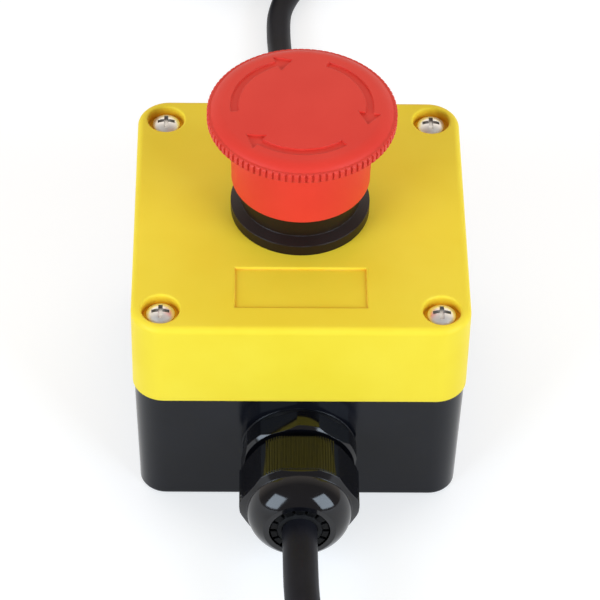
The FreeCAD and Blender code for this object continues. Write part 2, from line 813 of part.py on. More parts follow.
def make_mushroom_head():
    """Red cap: skirt, flared underside, ribbed rim, rounded shoulder, low dome with three turn arrows."""
    rim = S.cap_diameter / 2
    hub = S.hub_diameter / 2
    skirt_bottom = S.neck_foot + S.press_travel + S.skirt_gap
    skirt_inner = S.neck_diameter / 2 + S.skirt_clearance
    skirt = skirt_inner + S.skirt_thickness
    skirt_top = skirt + S.skirt_taper
    flare = S.underside_round
    rim_foot = rim - S.rim_chamfer
    dome_radius = (dome_edge * dome_edge + S.dome_rise * S.dome_rise) / (2 * S.dome_rise)
    stem_top = cap_ceiling - S.fit_clearance
    body = turned_body("mushroom_head", [
        (skirt_inner, skirt_bottom), (skirt, skirt_bottom), (skirt_top, S.rim_bottom - flare),
        (skirt_top + flare, S.rim_bottom, -flare), (rim_foot, S.rim_bottom),
        (rim, S.rim_bottom + S.rim_chamfer), (rim, rim_top - S.rim_chamfer), (rim_foot, rim_top),
        (shoulder_foot, rim_top),
        (dome_edge, shoulder_top, S.shoulder_round), (0.0, dome_top, dome_radius), (0.0, stem_top),
        (stem_radius + S.fit_clearance, stem_top), (stem_radius + S.fit_clearance, hub_bottom),
        (hub, hub_bottom), (hub, cap_ceiling), (skirt_inner, cap_ceiling),
    ])
    inner = rim - S.rib_groove_depth
    narrow = S.rib_groove_width / 4
    wide = S.rib_groove_width / 2
    outer = rim + S.rib_groove_depth
    notch = [(inner, -narrow), (outer, -wide), (outer, wide), (inner, narrow)]
    groove = draw(body, "rib_groove", "XY_Plane", [notch], S.rim_bottom)
    repeat_around(body, pocket(body, groove, S.rim_height, back=True), S.rib_count)
    half_band = S.arrow_band / 2
    half_head = S.arrow_head_width / 2
    tail = S.arrow_start
    neck = tail - S.arrow_sweep
    tip = neck - S.arrow_head_sweep
    track = dome_edge - S.arrow_inset
    reach = track / cosine(S.arrow_head_sweep)
    rings = (track - half_head, track - half_band, track + half_band, track + half_head)
    arrow = [
        (rings[1] * cosine(tail), rings[1] * sine(tail), rings[1]),
        (rings[2] * cosine(tail), rings[2] * sine(tail)),
        (rings[2] * cosine(neck), rings[2] * sine(neck), -rings[2]),
        (rings[3] * cosine(neck), rings[3] * sine(neck)),
        (reach * cosine(tip), reach * sine(tip)),
        (rings[0] * cosine(neck), rings[0] * sine(neck)),
        (rings[1] * cosine(neck), rings[1] * sine(neck)),
    ]
    arrow_fall = track * track / (2 * dome_radius)
    arrow_floor = dome_top - arrow_fall - S.arrow_depth
    engraved = draw(body, "turn_arrow", "XY_Plane", [arrow], arrow_floor)
    repeat_around(body, pocket(body, engraved, S.cap_plate, back=True), S.arrow_count)
    keep(on_button_axis(body), "mushroom_head")


def make_stem():
    """Shaft in the cap's hub, with a clip groove at its foot and a cross hole for the twist pin."""
    groove = stem_radius - S.clip_groove_depth
    groove_top = socket_roof - S.fit_clearance
    groove_bottom = groove_top - S.clip_thickness - 2 * S.fit_clearance
    top = cap_ceiling - 2 * S.fit_clearance
    body = turned_body("head_stem", [
        (0.0, -stem_bottom), (stem_radius, -stem_bottom), (stem_radius, groove_bottom),
        (groove, groove_bottom), (groove, groove_top), (stem_radius, groove_top), (stem_radius, top),
        (0.0, top),
    ])
    hole = [Circle(0.0, S.twist_pin_height, S.twist_pin_diameter / 2 + S.fit_clearance)]
    pocket(body, draw(body, "pin_hole", "YZ_Plane", hole, stem_radius), S.stem_diameter)
    keep(on_button_axis(body), "head_stem")
    clip_inner = groove + S.fit_clearance
    clip_outer = S.socket_diameter / 2 - S.clip_clearance
    clip_bottom = groove_bottom + S.fit_clearance
    clip_top = clip_bottom + S.clip_thickness
    clip = turned_body("stem_clip", [
        (clip_inner, clip_bottom), (clip_outer, clip_bottom), (clip_outer, clip_top), (clip_inner, clip_top),
    ])
    gap = rectangle(clip_inner, 2 * clip_outer, 0.0, clip_outer)
    pocket(clip, draw(clip, "clip_gap", "XY_Plane", [gap], clip_top), S.clip_thickness)
    keep(on_button_axis(clip), "stem_clip")
    pin = doc.addObject("Part::Cylinder", "twist_pin")
    pin_half = sleeve_radius - 4 * S.fit_clearance
    bind(pin, "Radius", S.twist_pin_diameter / 2)
    bind(pin, "Height", 2 * pin_half)
    along_x = FreeCAD.Rotation(FreeCAD.Vector(0, 1, 0), HALF_TURN / 2)
    place(pin, -pin_half, S.button_offset, lid_top + S.twist_pin_height, along_x)
    keep(pin, "twist_pin")


def make_pusher():
    """Sliding sleeve round the stem, with pin windows, a spring flange, a key rib and a pressing foot."""
    socket = S.socket_diameter / 2
    flange = S.chamber_diameter / 2 - S.pusher_flange_clearance
    body = turned_body("pusher", [
        (socket, -pusher_bottom), (sleeve_radius, -pusher_bottom),
        (sleeve_radius, S.pusher_flange_bottom), (flange, S.pusher_flange_bottom), (flange, hub_bottom),
        (bore_radius, hub_bottom),
        (bore_radius, socket_roof), (socket, socket_roof),
    ])
    pin_radius = S.twist_pin_diameter / 2
    outer = sleeve_radius + CUT_PAST
    inner = bore_radius - CUT_PAST
    first = -S.twist_angle - S.window_margin
    windows = [
        sector(inner, outer, first + side, S.window_margin + side)
        for side in (0.0, HALF_TURN)
    ]
    sill = S.twist_pin_height - pin_radius - 2 * S.fit_clearance
    opening = 2 * pin_radius + 4 * S.fit_clearance
    pocket(body, draw(body, "pin_windows", "XY_Plane", windows, sill), opening, back=True)
    rib = rectangle(S.rib_width, 2 * S.rib_depth, 0.0, -sleeve_radius)
    pad(body, draw(body, "key_rib", "XY_Plane", [rib], -pusher_bottom), pusher_bottom)
    keep(on_button_axis(body), "pusher")
    foot = new_body("pusher_foot")
    plate = rectangle(S.foot_width, S.foot_length)
    pad(foot, draw(foot, "foot_plate", "XY_Plane", [plate], foot_bottom), S.foot_thickness)
    spigot = [Circle(0.0, 0.0, socket - S.fit_clearance)]
    pad(foot, draw(foot, "foot_spigot", "XY_Plane", spigot, -pusher_bottom), S.foot_spigot)
    keep(on_button_axis(foot), "pusher_foot")


def make_button_springs():
    """Return spring under the pusher's flange and twist return spring on top of it."""
    between = (S.sleeve_diameter + S.chamber_diameter) / 2
    press_return = spring("return_spring", between, S.return_spring_wire, S.chamber_floor,
                          S.pusher_flange_bottom, S.return_spring_turns, 0.0, S.button_offset, lid_top)
    keep(press_return, "return_spring")
    reset_top = hub_bottom + S.reset_spring_wire * (S.reset_spring_turns + 2)
    round_hub = S.hub_diameter + S.reset_spring_wire + 2 * S.reset_spring_gap
    twist_return = spring("reset_spring", round_hub, S.reset_spring_wire, hub_bottom, reset_top,
                          S.reset_spring_turns, 0.0, S.button_offset, lid_top)
    keep(twist_return, "reset_spring")


def make_carrier():
    """Adapter that grips the barrel and leaves the foot room to travel above the contact blocks."""
    body = new_body("contact_carrier")
    top = -(S.lid_plate + S.nut_height + S.carrier_gap)
    frame = rectangle(S.barrel_diameter + 2 * S.carrier_wall, S.block_length - 2 * S.carrier_inset)
    pad(body, draw(body, "carrier_frame", "XY_Plane", [frame], block_top), top - block_top)

    def is_upright(edge):
        return edge.BoundBox.ZLength > value_of(top - block_top) / 2

    round_edges(body, "carrier_corners", S.carrier_corner, is_upright)
    bore = [Circle(0.0, 0.0, barrel_radius + S.fit_clearance)]
    pocket(body, draw(body, "carrier_bore", "XY_Plane", bore, top), top + S.barrel_length)
    room = rectangle(S.foot_width + 2 * S.foot_room, S.foot_length + 2 * S.foot_room_along)
    room_height = -S.barrel_length - block_top
    pocket(body, draw(body, "foot_travel", "XY_Plane", [room], block_top), room_height, back=True)
    keep(on_button_axis(body), "contact_carrier")


# Distance of a terminal from the middle of its contact block
terminal_place = (S.block_length - S.terminal_depth) / 2


def at_block(thing, side):
    """Local height 0 is the top of a contact block, and the block's middle is local x and y 0."""
    middle = (S.block_width + S.block_gap) / 2
    return place(thing, side * middle, S.button_offset, lid_top + block_top)


def make_block_housing(name, side):
    """Moulded contact block, open on its right face, with a plunger hole and a pocket for each terminal."""
    body = new_body(f"{name}_housing")
    half_width = S.block_width / 2
    open_face = half_width - S.block_wall
    outline = [
        (open_face, -S.block_length / 2), (open_face, S.block_length / 2), (-half_width, S.block_length / 2),
        (-half_width, -S.block_length / 2),
    ]
    pad(body, draw(body, f"{name}_block", "XY_Plane", [outline]), S.block_height, back=True)
    depth = S.block_width - 2 * S.block_wall
    chamber_height = S.block_height - S.block_roof - S.block_floor
    chamber_middle = -(S.block_roof + chamber_height / 2)
    chamber = rectangle(S.chamber_length, chamber_height, 0.0, chamber_middle)
    pocket(body, draw(body, f"{name}_chamber", "YZ_Plane", [chamber], open_face), depth)
    strip_middle = -(S.strip_top + S.strip_thickness / 2)
    slot_height = S.strip_thickness + 2 * S.strip_slot_clearance
    slot = rectangle(S.block_length - S.terminal_depth, slot_height, 0.0, strip_middle)
    pocket(body, draw(body, f"{name}_strip_slot", "YZ_Plane", [slot], open_face), depth)
    pocket_height = S.terminal_bottom - S.terminal_top
    pocket_middle = -(S.terminal_top + pocket_height / 2)
    pockets = [
        rectangle(S.terminal_depth, pocket_height, end * terminal_place, pocket_middle) for end in (-1, 1)
    ]
    pocket(body, draw(body, f"{name}_terminal_rooms", "YZ_Plane", pockets, open_face), depth)
    hole = [Circle(0.0, 0.0, S.plunger_diameter / 2 + S.fit_clearance)]
    pocket(body, draw(body, f"{name}_plunger_hole", "XY_Plane", hole), S.block_roof + CUT_PAST)
    keep(at_block(body, side), f"{name}_housing")
    cover = new_body(f"{name}_cover")
    plate = [
        (half_width, -S.block_length / 2), (half_width, S.block_length / 2), (open_face, S.block_length / 2),
        (open_face, -S.block_length / 2),
    ]
    pad(cover, draw(cover, f"{name}_cover_plate", "XY_Plane", [plate]), S.block_height, back=True)
    keep(at_block(cover, side), f"{name}_cover")


# Heights inside a contact block, below its top
strip_bottom = -(S.strip_top + S.strip_thickness)
bridge_top = strip_bottom - 2 * S.tip_thickness
bridge_bottom = bridge_top - S.bridge_thickness


def make_block_contacts(name, side):
    """Fixed strips with contact tips, the bridge that joins them, and the terminal screws."""
    strips = []
    screws = []
    middle = side * (S.block_width + S.block_gap) / 2
    height = lid_top + block_top
    strip_length = S.block_length / 2 - S.strip_recess - S.strip_inner_end
    screw_radius = S.terminal_screw_diameter / 2
    for end, word in ((-1, "front"), (1, "rear")):
        strip_y = S.button_offset + end * (S.strip_inner_end + strip_length / 2)
        tip_y = S.button_offset + end * S.tip_place
        screw_y = S.button_offset + end * terminal_place
        bar = box(f"{name}_{word}_bar", S.strip_width, strip_length, S.strip_thickness, middle, strip_y,
                  height + strip_bottom)
        tip = rod(f"{name}_{word}_tip", S.tip_diameter / 2, S.tip_thickness, middle, tip_y,
                  height + strip_bottom - S.tip_thickness)
        hole = rod(f"{name}_{word}_tapping", screw_radius + S.fit_clearance, 3 * S.strip_thickness, middle,
                   screw_y, height + strip_bottom - S.strip_thickness)
        strips.append(cut(f"{name}_{word}_strip", fuse(f"{name}_{word}_blank", [bar, tip]), hole))
        head_bottom = S.fit_clearance - S.terminal_bottom
        head_top = head_bottom + S.terminal_head_height
        head = rod(f"{name}_{word}_head", S.terminal_head_diameter / 2, S.terminal_head_height, middle,
                   screw_y, height + head_bottom)
        clamp = box(f"{name}_{word}_clamp", S.clamp_plate_width, S.clamp_plate_width, S.clamp_plate_thickness,
                    middle, screw_y, height + head_top)
        shank_top = -S.strip_top + S.strip_thickness
        shank = rod(f"{name}_{word}_shank", screw_radius, shank_top - head_top, middle, screw_y,
                    height + head_top)
        screws.append(fuse(f"{name}_{word}_screw", [head, clamp, shank]))
    keep(group(f"{name}_fixed_contacts", strips), f"{name}_fixed_contacts")
    keep(group(f"{name}_terminal_screws", screws), f"{name}_terminal_screws")
    bridge_length = S.chamber_length - 2 * S.bridge_gap
    plate = box(f"{name}_bridge_plate", S.strip_width, bridge_length, S.bridge_thickness, middle,
                S.button_offset, height + bridge_bottom)
    tips = [
        rod(f"{name}_bridge_tip_{index}", S.tip_diameter / 2, S.tip_thickness, middle,
            S.button_offset + end * S.tip_place, height + bridge_top)
        for index, end in enumerate((-1, 1), start=1)
    ]
    guide_hole = S.plunger_guide_diameter / 2 + S.fit_clearance
    passage = rod(f"{name}_bridge_hole", guide_hole, 3 * S.bridge_thickness, middle, S.button_offset,
                  height + bridge_bottom - S.bridge_thickness)
    keep(cut(f"{name}_bridge", fuse(f"{name}_bridge_blank", [plate, *tips]), passage), f"{name}_bridge")


def make_block_plunger(name, side):
    """Plunger that the foot presses, with a guide pin through the bridge, and the spring under the bridge."""
    guide = S.plunger_guide_diameter / 2
    shaft = S.plunger_diameter / 2
    guide_bottom = bridge_top - S.plunger_guide_length
    top = foot_bottom - block_top
    body = turned_body(f"{name}_plunger", [
        (0.0, guide_bottom), (guide, guide_bottom), (guide, bridge_top), (shaft, bridge_top), (shaft, top),
        (0.0, top),
    ])
    keep(at_block(body, side), f"{name}_plunger")
    seat = S.block_floor - S.block_height
    middle = side * (S.block_width + S.block_gap) / 2
    keep(spring(f"{name}_spring", S.contact_spring_diameter, S.contact_spring_wire, seat, bridge_bottom,
                S.contact_spring_turns, middle, S.button_offset, lid_top + block_top), f"{name}_spring")


# Heights along a gland, outwards from the pad on the box
gland_hex_bottom = S.gland_washer_thickness
gland_hex_top = gland_hex_bottom + S.gland_hex_thickness
gland_nut_bottom = gland_hex_top + S.gland_nut_gap
gland_nut_shoulder = gland_nut_bottom + S.gland_nut_hex_length
gland_mouth = gland_nut_shoulder + S.gland_dome_length
gland_neck_top = gland_hex_top + S.gland_neck_length
claw_bottom = gland_neck_top + S.fit_clearance
claw_tip = gland_mouth - S.claw_recess
claw_top = claw_tip - S.claw_taper


def at_gland(thing, side):
    """Local height runs outwards from the front (-1) or rear (1) gland pad, along the gland's axis."""
    outwards = FreeCAD.Rotation(FreeCAD.Vector(1, 0, 0), -side * HALF_TURN / 2)
    return place(thing, 0.0, side * base_half, S.gland_height, outwards)


def make_gland_body(name, side):
    """Threaded gland body through the wall: a hexagon with turned corners, its washer and locknut."""
    thread = S.gland_thread_diameter / 2
    bore = S.gland_bore_diameter / 2
    past_corners = 2 * gland_flat
    body = new_body(f"{name}_body")
    corner_up = FULL_TURN / 12 - S.gland_hex_turn
    hexagon_plan = [hexagon(2 * gland_flat, corner_up)]
    pad(body, draw(body, f"{name}_hex", "XY_Plane", hexagon_plan, gland_hex_bottom), S.gland_hex_thickness)
    turn(body, f"{name}_tube", [
        (bore, -S.gland_thread_length), (thread, -S.gland_thread_length), (thread, gland_neck_top),
        (bore, gland_neck_top),
    ])
    hole = [Circle(0.0, 0.0, bore)]
    passage = draw(body, f"{name}_bore", "XY_Plane", hole, gland_neck_top)
    pocket(body, passage, S.gland_thread_length + gland_neck_top)
    trim = draw(body, f"{name}_hex_trim", "XZ_Plane", [[
        (gland_corner - S.gland_hex_chamfer, gland_hex_top), (past_corners, gland_hex_top),
        (past_corners, gland_hex_bottom), (gland_corner, gland_hex_bottom),
        (gland_corner, gland_hex_top - S.gland_hex_chamfer),
    ]])
    groove = body.newObject("PartDesign::Groove", f"{name}_hex_chamfer")
    groove.Profile = trim
    groove.ReferenceAxis = (trim, ["V_Axis"])
    groove.Angle = FULL_TURN
    keep(at_gland(body, side), f"{name}_body")
    washer = turned_body(f"{name}_washer", [
        (thread + S.fit_clearance, 0.0), (gland_flat, 0.0), (gland_flat, S.gland_washer_thickness),
        (thread + S.fit_clearance, S.gland_washer_thickness),
    ])
    keep(at_gland(washer, side), f"{name}_washer")
    locknut = new_body(f"{name}_locknut")
    ring = [hexagon(2 * (thread + S.locknut_step)), Circle(0.0, 0.0, thread + S.fit_clearance)]
    inside = draw(locknut, f"{name}_locknut_ring", "XY_Plane", ring, -S.base_wall)
    pad(locknut, inside, S.locknut_height, back=True)
    keep(at_gland(locknut, side), f"{name}_locknut")


def make_gland_nut(name, side):
    """Dome nut: a hexagon with turned corners, a rounded nose and a mouth for the lead."""
    dome = gland_flat - S.gland_dome_step
    mouth = S.gland_mouth_diameter / 2
    lip = mouth + S.gland_mouth_wall
    chamfer = gland_corner - dome
    slope = chamfer * tangent(FULL_TURN / 12)
    thread = S.gland_thread_diameter / 2 + S.fit_clearance
    claw_room = S.claw_outer_diameter / 2 + S.gland_hole_clearance
    thread_end = gland_neck_top + S.fit_clearance
    cone_start = claw_top + S.gland_hole_clearance
    blank = turned_body(f"{name}_blank", [
        (thread, gland_nut_bottom), (dome, gland_nut_bottom), (gland_corner, gland_nut_bottom + slope),
        (gland_corner, gland_nut_shoulder - slope), (dome, gland_nut_shoulder),
        (lip, gland_mouth, S.gland_dome_round),
        (mouth, gland_mouth), (mouth, claw_tip), (claw_room, cone_start),
        (claw_room, thread_end), (thread, thread_end),
    ])
    prism = new_body(f"{name}_prism")
    plan = draw(prism, f"{name}_prism_plan", "XY_Plane", [hexagon(2 * gland_flat)], gland_nut_bottom)
    pad(prism, plan, gland_mouth - gland_nut_bottom)
    nut = doc.addObject("Part::Common", f"{name}_nut")
    nut.Base = blank
    nut.Tool = prism
    keep(at_gland(nut, side), f"{name}_nut")


def make_gland_grip(name, side, lead_diameter):
    """Clamping claw with slotted fingers, and the rubber seal inside it."""
    outer = S.claw_outer_diameter / 2
    inner = S.claw_inner_diameter / 2
    tip = S.gland_mouth_diameter / 2 - S.claw_tip_clearance
    wall = outer - inner
    claw = turned_body(f"{name}_claw", [
        (inner, claw_bottom), (outer, claw_bottom), (outer, claw_top), (tip, claw_tip),
        (tip - wall, claw_tip), (inner, claw_top),
    ])
    slot = rectangle(outer, S.claw_slot_width, outer, 0.0)
    slot_foot = claw_bottom + wall
    slit = draw(claw, f"{name}_claw_slot", "XY_Plane", [slot], slot_foot)
    repeat_around(claw, pocket(claw, slit, claw_tip - slot_foot, back=True), S.claw_slots)
    keep(at_gland(claw, side), f"{name}_claw")
    bore = lead_diameter / 2 + S.fit_clearance
    body = smaller(inner, S.gland_bore_diameter / 2) - S.seal_clearance
    nose = tip - wall - S.seal_clearance
    seal_end = claw_top
    seal_start = seal_end - S.seal_length
    seal = turned_body(f"{name}_seal", [
        (bore, seal_start), (body, seal_start), (body, seal_end), (nose, claw_tip), (bore, claw_tip),
    ])
    keep(at_gland(seal, side), f"{name}_seal")


def tube_along(points, diameter):
    """A round tube along straight runs joined by tangent arcs, each as large as its runs allow."""
    edges = []
    radii = []
    start = points[0]
    for before, corner, after in zip(points, points[1:], points[2:]):
        coming = corner - before
        going = after - corner
        trim = 0.45 * min(coming.Length, going.Length)
        half_turn = coming.getAngle(going) / 2
        radii.append(trim / math.tan(half_turn))
        into = FreeCAD.Vector(coming).normalize()
        out_of = FreeCAD.Vector(going).normalize()
        first = corner - into * trim
        last = corner + out_of * trim
        inwards = (out_of - into).normalize()
        centre = corner + inwards * (radii[-1] / math.cos(half_turn))
        edges.append(Part.LineSegment(start, first).toShape())
        edges.append(Part.Arc(first, centre - inwards * radii[-1], last).toShape())
        start = last
    edges.append(Part.LineSegment(start, points[-1]).toShape())
    path = Part.Wire(edges)
    section = Part.Wire([Part.Circle(points[0], points[1] - points[0], diameter / 2).toShape()])
    solid = path.makePipeShell([section], True, False)
    return solid, path.Length, radii


def checked_tube(name, points, diameter):
    """A tube whose volume agrees with its section and length."""
    solid, length, radii = tube_along([FreeCAD.Vector(*point) for point in points], diameter)
    share = solid.Volume / (math.pi * diameter ** 2 / 4 * length)
    if abs(share - 1) > TOLERANCE:
        raise ValueError(f"{name} does not fill its section: {share:.3f}")
    print(name, "length", round(length, 1), "bend radii", [round(radius, 1) for radius in radii])
    return solid


def shape_node(name, shape, place_at=None):
    feature = doc.addObject("Part::Feature", name)
    feature.Shape = shape
    feature.Placement = place_at or FreeCAD.Placement()
    return keep(feature, name)


# Routes of the leads, from inside the glands to where they join their coils
FRONT_ROUTE = [
    (0.0, -25.0, 16.52), (0.0, -44.0, 16.5), (0.0, -62.5, 16.44), (0.3, -80.5, 15.2), (3.6, -92.5, 13.8),
    (9.8, -102.8, 12.4), (19.1, -111.8, 11.25),
]
REAR_ROUTE = [
    (0.0, 27.0, 16.52), (0.0, 44.8, 16.5), (0.0, 62.5, 16.44), (-0.7, 77.0, 13.4), (-1.6, 91.0, 7.8),
    (-2.7, 105.0, 3.9), (-3.4, 117.0, 3.05), (-2.0, 126.9, 3.05), (1.75, 136.2, 3.05), (7.6, 144.3, 3.05),
    (14.8, 151.2, 3.05),
]

# Routes of the wires inside the box: the right one of each pair that goes to the contacts, and the earth wire
FRONT_CORE = [(1.3, -25.0, 17.2), (1.55, -23.0, 17.7), (4.3, -19.9, 20.4), (5.2, -15.8, 20.7)]
REAR_CORE = [(1.3, 27.0, 17.2), (1.55, 25.2, 17.7), (4.3, 22.6, 20.4), (5.2, 18.8, 20.7)]
FRONT_EARTH = [
    (0.0, -25.0, 15.0), (0.6, -20.6, 14.4), (13.5, -20.4, 9.5), (21.0, -15.0, 5.5), (21.0, -9.0, 5.5),
]
REAR_EARTH = [
    (0.0, 27.0, 15.0), (0.6, 22.9, 14.4), (13.5, 22.3, 9.5), (21.0, 15.0, 5.5), (21.0, 9.0, 5.5),
]


def coil_place(route, radius, bend):
    """Middle of the coil whose outer turn carries on from a route, with its local X towards that end."""
    end = FreeCAD.Vector(*route[-1])
    run = end - FreeCAD.Vector(*route[-2])
    inwards = FreeCAD.Vector(-run.y, run.x, 0).normalize() * bend
    centre = FreeCAD.Vector(end.x, end.y, 0) + inwards * radius
    return FreeCAD.Placement(centre, FreeCAD.Rotation(FreeCAD.Vector(1, 0, 0), -inwards))


def ring_solid(inner, outer, top, rounding):
    """A flat ring with rounded edges, for the turns of a coil."""
    ring = Part.makeCylinder(outer, top).cut(Part.makeCylinder(inner, top))
    return ring.makeFillet(rounding, ring.Edges)


def arc_rod(radius, height, thickness, first, sweep):
    """A round rod bent about the vertical axis, from one angle through a sweep."""
    start = FreeCAD.Vector(radius, 0, height)
    section = Part.Face(Part.Wire([Part.Circle(start, FreeCAD.Vector(0, 1, 0), thickness / 2).toShape()]))
    solid = section.revolve(FreeCAD.Vector(0, 0, 0), UPRIGHT, sweep)
    return solid.rotated(FreeCAD.Vector(0, 0, 0), UPRIGHT, first)


def make_lead(name, route, diameter, coil_radius, bend):
    """A sheathed lead: its free stretch, the coil of the rest, a tie round the coil and the stripped end."""
    thick = float(diameter)
    radius = float(coil_radius)
    shape_node(f"{name}_lead", checked_tube(f"{name}_lead", route, thick))
    at_coil = coil_place(route, radius + thick / 2, bend)
    top = S.coil_layers.value * thick
    half = top / 2
    width = float(S.tie_width)
    strap = float(S.tie_thickness)
    near = radius - half
    strap_corner = FreeCAD.Vector(near - strap, -width / 2, 0)
    inside_corner = FreeCAD.Vector(near, -width / 2, strap)
    tie = Part.makeBox(2 * (half + strap), width, top + strap, strap_corner)
    tie = tie.cut(Part.makeBox(2 * half, width, top - strap, inside_corner))
    along_coil = FreeCAD.Placement(FreeCAD.Vector(), FreeCAD.Rotation(UPRIGHT, bend * float(S.tie_angle)))
    shape_node(f"{name}_tie", tie, at_coil.multiply(along_coil))
    tie.Placement = along_coil
    tail_start = bend * float(S.tail_angle)
    tail_sweep = bend * float(S.tail_sweep)
    sunk = float(S.tail_sunk)
    tail = arc_rod(radius, top + thick / 2 - sunk, thick, tail_start, tail_sweep)
    ring = ring_solid(radius - half, radius + half, top, thick / 2 - float(S.fit_clearance))
    shape_node(f"{name}_coil", ring.fuse(tail).cut(tie), at_coil)
    core = float(S.core_diameter)
    core_start = tail_start + tail_sweep
    core_sweep = bend * math.degrees(float(S.core_length) / radius)
    ferrule_sweep = bend * math.degrees(float(S.ferrule_length) / radius)
    height = top + core / 2 + 2 * float(S.fit_clearance)
    ends = []
    for step in (-1, 0, 1):
        path = radius + step * float(S.core_pitch)
        wire = arc_rod(path, height, core, core_start, core_sweep)
        ferrule = arc_rod(path, height, float(S.ferrule_diameter), core_start + core_sweep, ferrule_sweep)
        ends.append(wire.fuse(ferrule))
    shape_node(f"{name}_lead_end", Part.makeCompound(ends), at_coil)


def make_cores():
    """Wires from each lead to the terminals, and the splice that joins the earth wires past the contacts."""
    core = float(S.core_diameter)
    for name, contact, earth in (("front", FRONT_CORE, FRONT_EARTH), ("rear", REAR_CORE, REAR_EARTH)):
        mirrored = [(-x, y, z) for x, y, z in contact]
        routes = {"right": contact, "left": mirrored, "earth": earth}
        wires = [checked_tube(f"{name}_{word}_core", route, core) for word, route in routes.items()]
        shape_node(f"{name}_cores", Part.makeCompound(wires))
    splice = box("earth_joint", S.splice_width, S.splice_length, S.splice_height, S.splice_offset, 0.0,
                 S.base_floor)
    keep(splice, "earth_joint")


def check_document():
    """Stops before anything is written if a piece failed or is empty, or a pocket cut nothing."""
    for thing in doc.Objects:
        if "Invalid" in thing.State or "Error" in thing.State:
            raise ValueError(f"{thing.Name} is {thing.State}")
        if thing.TypeId == "PartDesign::Pocket":
            removed = thing.BaseFeature.Shape.Volume - thing.Shape.Volume
            if removed < 1e-3:
                raise ValueError(f"{thing.Name} cuts nothing")
    for piece in nodes:
        if piece.Shape.isNull() or not piece.Shape.isValid() or not piece.Shape.Solids:
            raise ValueError(f"{piece.Label} has no valid solid")


def write_steps():
    os.makedirs("parts", exist_ok=True)
    for piece in nodes:
        piece.Shape.exportStep(f"parts/{piece.Label}.step")
    print(len(nodes), "sub-parts")


make_base()
make_lid()
make_lid_gasket()
make_lid_screws()
make_collar()
make_collar_gasket()
make_collar_nut()
make_mushroom_head()
make_stem()
make_pusher()
make_button_springs()
make_carrier()
for block, hand in (("left_block", -1), ("right_block", 1)):
    make_block_housing(block, hand)
    make_block_contacts(block, hand)
    make_block_plunger(block, hand)
for gland, hand, lead_size in (
    ("front_gland", -1, S.front_lead_diameter),
    ("rear_gland", 1, S.rear_lead_diameter),
):
    make_gland_body(gland, hand)
    make_gland_nut(gland, hand)
    make_gland_grip(gland, hand, lead_size)
make_lead("front", FRONT_ROUTE, S.front_lead_diameter, S.front_coil_radius, -1)
make_lead("rear", REAR_ROUTE, S.rear_lead_diameter, S.rear_coil_radius, 1)
make_cores()
doc.recompute()
check_document()
write_steps()
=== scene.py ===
# %% [markdown]
# # An emergency stop switch, dressed for its portrait
#
# The real object is a yellow and black plastic box with a red mushroom button on its lid and a cable gland
# at each end. The box, the button and all their inner pieces arrive as a imported CAD model, the frame. This
# lesson gives the frame its looks: the camera, the two leads, the ribs of the gland nuts, copies of the
# springs and a finish for every surface.
#
# The frame is loaded first. Nothing that is added may outgrow it.

# %% Load the frame
import math
from collections import namedtuple

import bmesh
import bpy
from mathutils import Matrix, Vector


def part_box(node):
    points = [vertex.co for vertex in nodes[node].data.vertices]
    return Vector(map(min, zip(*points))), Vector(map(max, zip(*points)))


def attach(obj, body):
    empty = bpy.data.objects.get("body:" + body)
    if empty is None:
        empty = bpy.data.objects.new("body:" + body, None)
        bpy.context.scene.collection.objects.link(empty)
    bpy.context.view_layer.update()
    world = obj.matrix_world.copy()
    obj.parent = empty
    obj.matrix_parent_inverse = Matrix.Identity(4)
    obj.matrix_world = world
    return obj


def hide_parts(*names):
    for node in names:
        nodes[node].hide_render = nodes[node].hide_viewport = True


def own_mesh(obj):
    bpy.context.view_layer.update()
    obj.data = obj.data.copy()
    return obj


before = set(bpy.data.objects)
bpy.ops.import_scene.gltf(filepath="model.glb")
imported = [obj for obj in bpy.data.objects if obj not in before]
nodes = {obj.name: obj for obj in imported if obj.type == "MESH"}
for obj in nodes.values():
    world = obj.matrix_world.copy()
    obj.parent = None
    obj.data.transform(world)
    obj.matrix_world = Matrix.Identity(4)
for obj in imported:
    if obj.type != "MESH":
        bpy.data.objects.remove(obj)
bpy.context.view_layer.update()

# %% [markdown]
# ## The camera
#
# The photograph looks down at the box from the front at about 45 degrees, with a long lens, so that the
# sides stay nearly parallel. A camera can be turned by eye until it looks right, or its angles can be
# worked out from edges whose real sizes are known. The second way was used: the angles, the distance and
# the lens below make the corners of a box of this size fall where the photograph shows them. The camera is
# also rolled a little.

# %% Place the camera
MM = 0.001
VIEW_TARGET = Vector((0.479, 0.0, 25.944)) * MM
VIEW_DISTANCE = 689.443 * MM
VIEW_ELEVATION = math.radians(45.513)
VIEW_YAW = math.radians(-1.568)
VIEW_ROLL = math.radians(1.425)
LENS_MM = 184.827
SENSOR_MM = 36.0
NEAREST_SEEN = 0.01
FURTHEST_SEEN = 20.0


def camera_axes(elevation, yaw, roll):
    """Right, up and backward directions of a camera that looks at its target."""
    level = math.cos(elevation)
    back = Vector((math.sin(yaw) * level, -math.cos(yaw) * level, math.sin(elevation)))
    flat_right = Vector((math.cos(yaw), math.sin(yaw), 0.0))
    flat_up = back.cross(flat_right)
    right = flat_right * math.cos(roll) + flat_up * math.sin(roll)
    return right, back.cross(right), back


right, up, back = camera_axes(VIEW_ELEVATION, VIEW_YAW, VIEW_ROLL)
lens = bpy.data.cameras.new("portrait_lens")
lens.lens = LENS_MM
lens.sensor_width = SENSOR_MM
lens.clip_start = NEAREST_SEEN
lens.clip_end = FURTHEST_SEEN
camera = bpy.data.objects.new("portrait_camera", lens)
place = Matrix((right, up, back)).transposed().to_4x4()
place.translation = VIEW_TARGET + back * VIEW_DISTANCE
camera.matrix_world = place
bpy.context.scene.collection.objects.link(camera)
bpy.context.scene.camera = camera
print("camera at", [round(x, 3) for x in place.translation])

